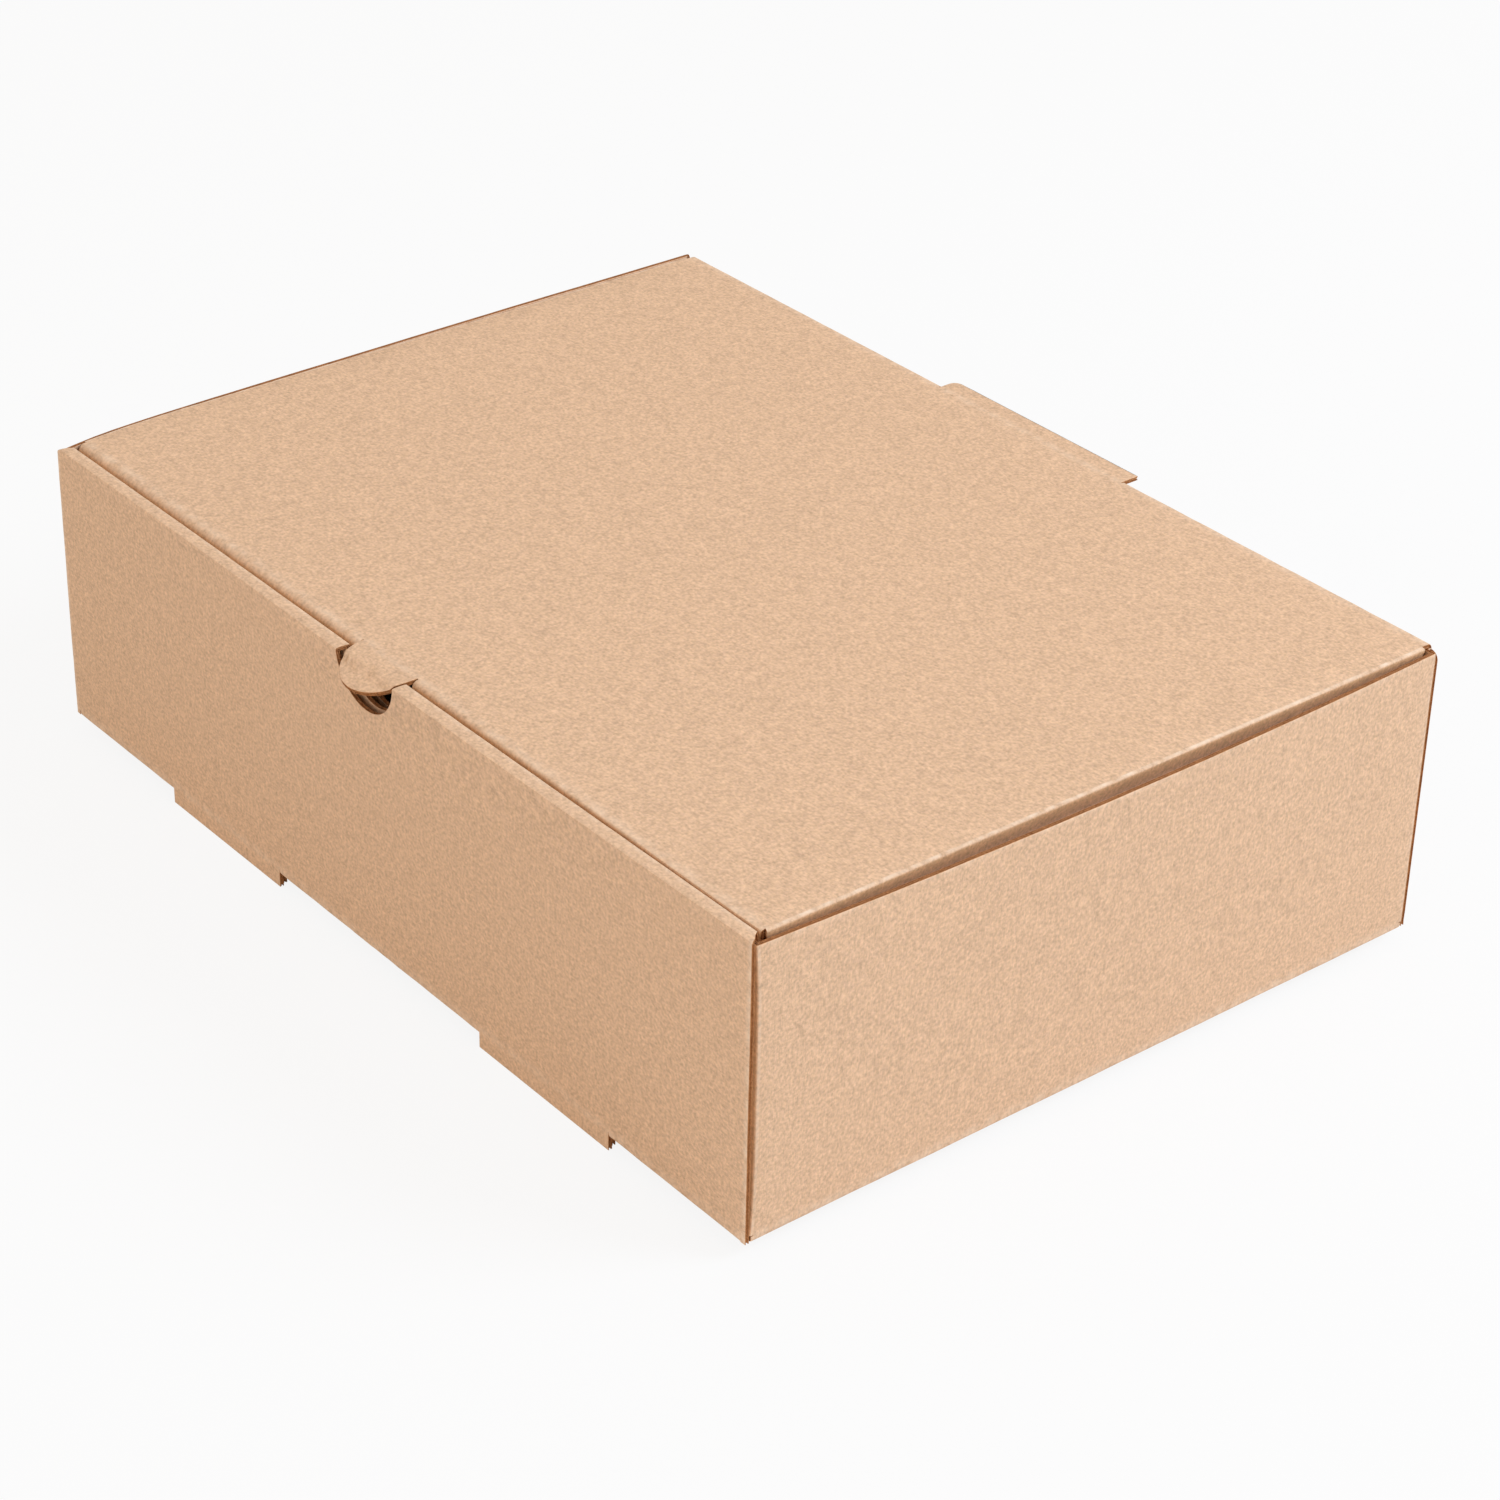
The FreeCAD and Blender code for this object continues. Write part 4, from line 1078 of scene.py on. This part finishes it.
def fluted_medium():
    """The fluted paper between the liners: thinner, greyer brown, with its cut edge paler."""
    finish = Finish("fluted_medium", 0.2)
    grain = finish.noise(finish.place, 1100.0, 3.0, 0.6)
    colour = finish.mixed(finish.span(grain, 0.3, 0.7), linear(158, 106, 66), linear(212, 158, 110))
    return finish.finished(colour, 0.9, grain, 0.4, 0.0001)


# ------------------------------------------------------------ pieces


def make_tray(finishes):
    tray = Board()
    front_and_back(tray)
    feet_and_locks(tray)
    for way in (-1, 1):
        side_and_ears(tray, way)

    def at_hinge(place):
        return (place[:, 2] > HINGE_TOP - SAME) & (place[:, 1] > WALL - SAME)

    piece = make_piece("tray_board", *board_mesh(tray, settle_tray, tray_wear_and_highlight, at_hinge), finishes)
    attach(piece, "tray")
    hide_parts("tray")
    return piece


def make_lid(finishes):
    lid = Board()
    top_and_tuck(lid)
    tabs(lid)
    for way in (-1, 1):
        dust_flap(lid, way)

    def at_hinge(place):
        return (np.abs(place[:, 2] - CREASE) < SAME) & (place[:, 1] > WALL - SAME)

    piece = make_piece("lid_board", *board_mesh(lid, settle_lid, None, at_hinge), finishes)
    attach(piece, "lid")
    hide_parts("lid")
    return piece


def make_crease(finishes, way):
    """The scored crease that joins lid and tray on one side of the hinge tab: a short, straight run of board,
    which on the real box bends as the lid opens. It starts and ends a little way inside the two boards."""
    overlap, inset, skin = 0.1, 0.05, 0.012
    rows = np.linspace(HINGE_TOP - overlap, CREASE + overlap, FINE_ROWS)
    x = spread(HINGE_SLOT_HALF + inset, LID_FLAT - inset)
    faces = np.array([WALL + HALF - skin, WALL - HALF + skin])
    z, x, y = np.meshgrid(rows, way * x, faces, indexing="ij")
    points = np.stack([x, y, z], -1)
    number = np.arange(points[..., 0].size).reshape(points.shape[:3])
    shell = [
        cells(number[:, :, 0]), cells(number[:, :, 1])[:, ::-1],
        cells(number[:, 0, :])[:, ::-1], cells(number[:, -1, :]),
        cells(number[0])[:, ::-1], cells(number[-1]),
    ]
    quads = np.concatenate(shell)
    if way < 0:
        quads = quads[:, ::-1]
    flat = points.reshape(-1, 3)
    sheets = np.stack([flat[:, 0], flat[:, 2] - HINGE_TOP, np.ones(len(flat))], -1)
    name = "hinge_crease_right" if way > 0 else "hinge_crease_left"
    piece = make_piece(name, flat, sheets, quads, np.zeros(len(quads), int), finishes)
    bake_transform(piece)
    return piece


# ------------------------------------------------------------ studio

CAMERA_AZIMUTH = 50.67  # degrees to the right of the front
CAMERA_ELEVATION = 30.86
CAMERA_ROLL = 1.30
CAMERA_DISTANCE = 1.1947
CAMERA_LENS = 89.99
CAMERA_TARGET = np.array([15.5, 1.5, 31.5])  # millimetres in the box's frame
AMBIENT = 0.612
AMBIENT_TINT = (1.07, 0.985, 0.89)
LAMP_DISTANCE = 2.5
LAMPS = {  # direction, size, power, tint
    "key_light": ((0.54, 0.50, 0.68), 1.2, 31.0, (0.855, 1.0, 1.21)),
    "front_fill": ((0.3, -0.88, 0.35), 1.8, 8.0, (1.12, 1.01, 0.98)),
}
FLOOR_TONE = 0.78
FLOOR_HALF = 6.0
FLOOR_WHITE = 0.88  # how much of the floor the camera sees as plain white


def make_camera():
    """A camera that looks at the target from its azimuth and elevation, turned about its line of sight."""
    azimuth, elevation = np.radians(CAMERA_AZIMUTH), np.radians(CAMERA_ELEVATION)
    level = np.cos(elevation)
    back = Vector((np.sin(azimuth) * level, -np.cos(azimuth) * level, np.sin(elevation)))
    roll = Matrix.Rotation(np.radians(CAMERA_ROLL), 4, "Z")
    turned = (-back).to_track_quat("-Z", "Y").to_matrix().to_4x4() @ roll
    camera = bpy.data.objects.new("camera", bpy.data.cameras.new("camera"))
    target = Vector((CAMERA_TARGET + ORIGIN) * MM)
    camera.matrix_world = Matrix.Translation(target + back * CAMERA_DISTANCE) @ turned
    camera.data.lens = CAMERA_LENS
    camera.data.sensor_width = 36.0
    camera.data.clip_end = 50.0
    bpy.context.scene.collection.objects.link(camera)
    bpy.context.scene.camera = camera


def make_world():
    """Even studio light from all round, which the camera sees as white."""
    world = bpy.data.worlds.new("studio")
    nodes = Nodes(world)
    nodes.tree.nodes.clear()
    light = {"Color": (*AMBIENT_TINT, 1.0), "Strength": AMBIENT}
    white = {"Color": (1.0, 1.0, 1.0, 1.0), "Strength": 1.0}
    shaders = [("ShaderNodeBackground", inputs) for inputs in (light, white)]
    nodes.output("ShaderNodeOutputWorld", nodes.camera_sees(), *shaders)
    bpy.context.scene.world = world


def make_lamps():
    """A large soft lamp high at the back right, and a weak warm one that fills the front."""
    for name, (direction, size, power, tint) in LAMPS.items():
        lamp = bpy.data.objects.new(name, bpy.data.lights.new(name, "AREA"))
        lamp.data.shape = "DISK"
        lamp.data.size = size
        lamp.data.energy = power
        lamp.data.color = tint
        way = Vector(direction).normalized()
        lamp.location = way * LAMP_DISTANCE
        lamp.rotation_mode = "QUATERNION"
        lamp.rotation_quaternion = (-way).to_track_quat("-Z", "Y")
        bpy.context.scene.collection.objects.link(lamp)


def make_floor():
    """A pale floor under the feet. The camera sees most of it as white, with the object's soft shadow."""
    mesh = bpy.data.meshes.new("floor")
    ground = float(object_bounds()[0].z)
    corners = [(x * FLOOR_HALF, y * FLOOR_HALF, ground) for x, y in ((-1, -1), (1, -1), (1, 1), (-1, 1))]
    mesh.from_pydata(corners, [], [(0, 1, 2, 3)])
    floor = bpy.data.objects.new("floor", mesh)
    bpy.context.scene.collection.objects.link(floor)
    material = bpy.data.materials.new("pale_floor")
    nodes = Nodes(material)
    nodes.tree.nodes.clear()
    matt = "ShaderNodeBsdfDiffuse", {"Color": (FLOOR_TONE, FLOOR_TONE, FLOOR_TONE, 1.0)}
    glow = "ShaderNodeEmission", {"Strength": 1.0}
    share = nodes.math("MULTIPLY", nodes.camera_sees(), FLOOR_WHITE)
    nodes.output("ShaderNodeOutputMaterial", share, matt, glow)
    mesh.materials.append(material)


make_camera()
make_world()
make_lamps()
finishes = [kraft_paper(), cut_paper(), fluted_medium()]
make_tray(finishes)
make_lid(finishes)
for way in (-1, 1):
    make_crease(finishes[:1], way)
make_floor()
bpy.context.scene.view_settings.view_transform = "Standard"
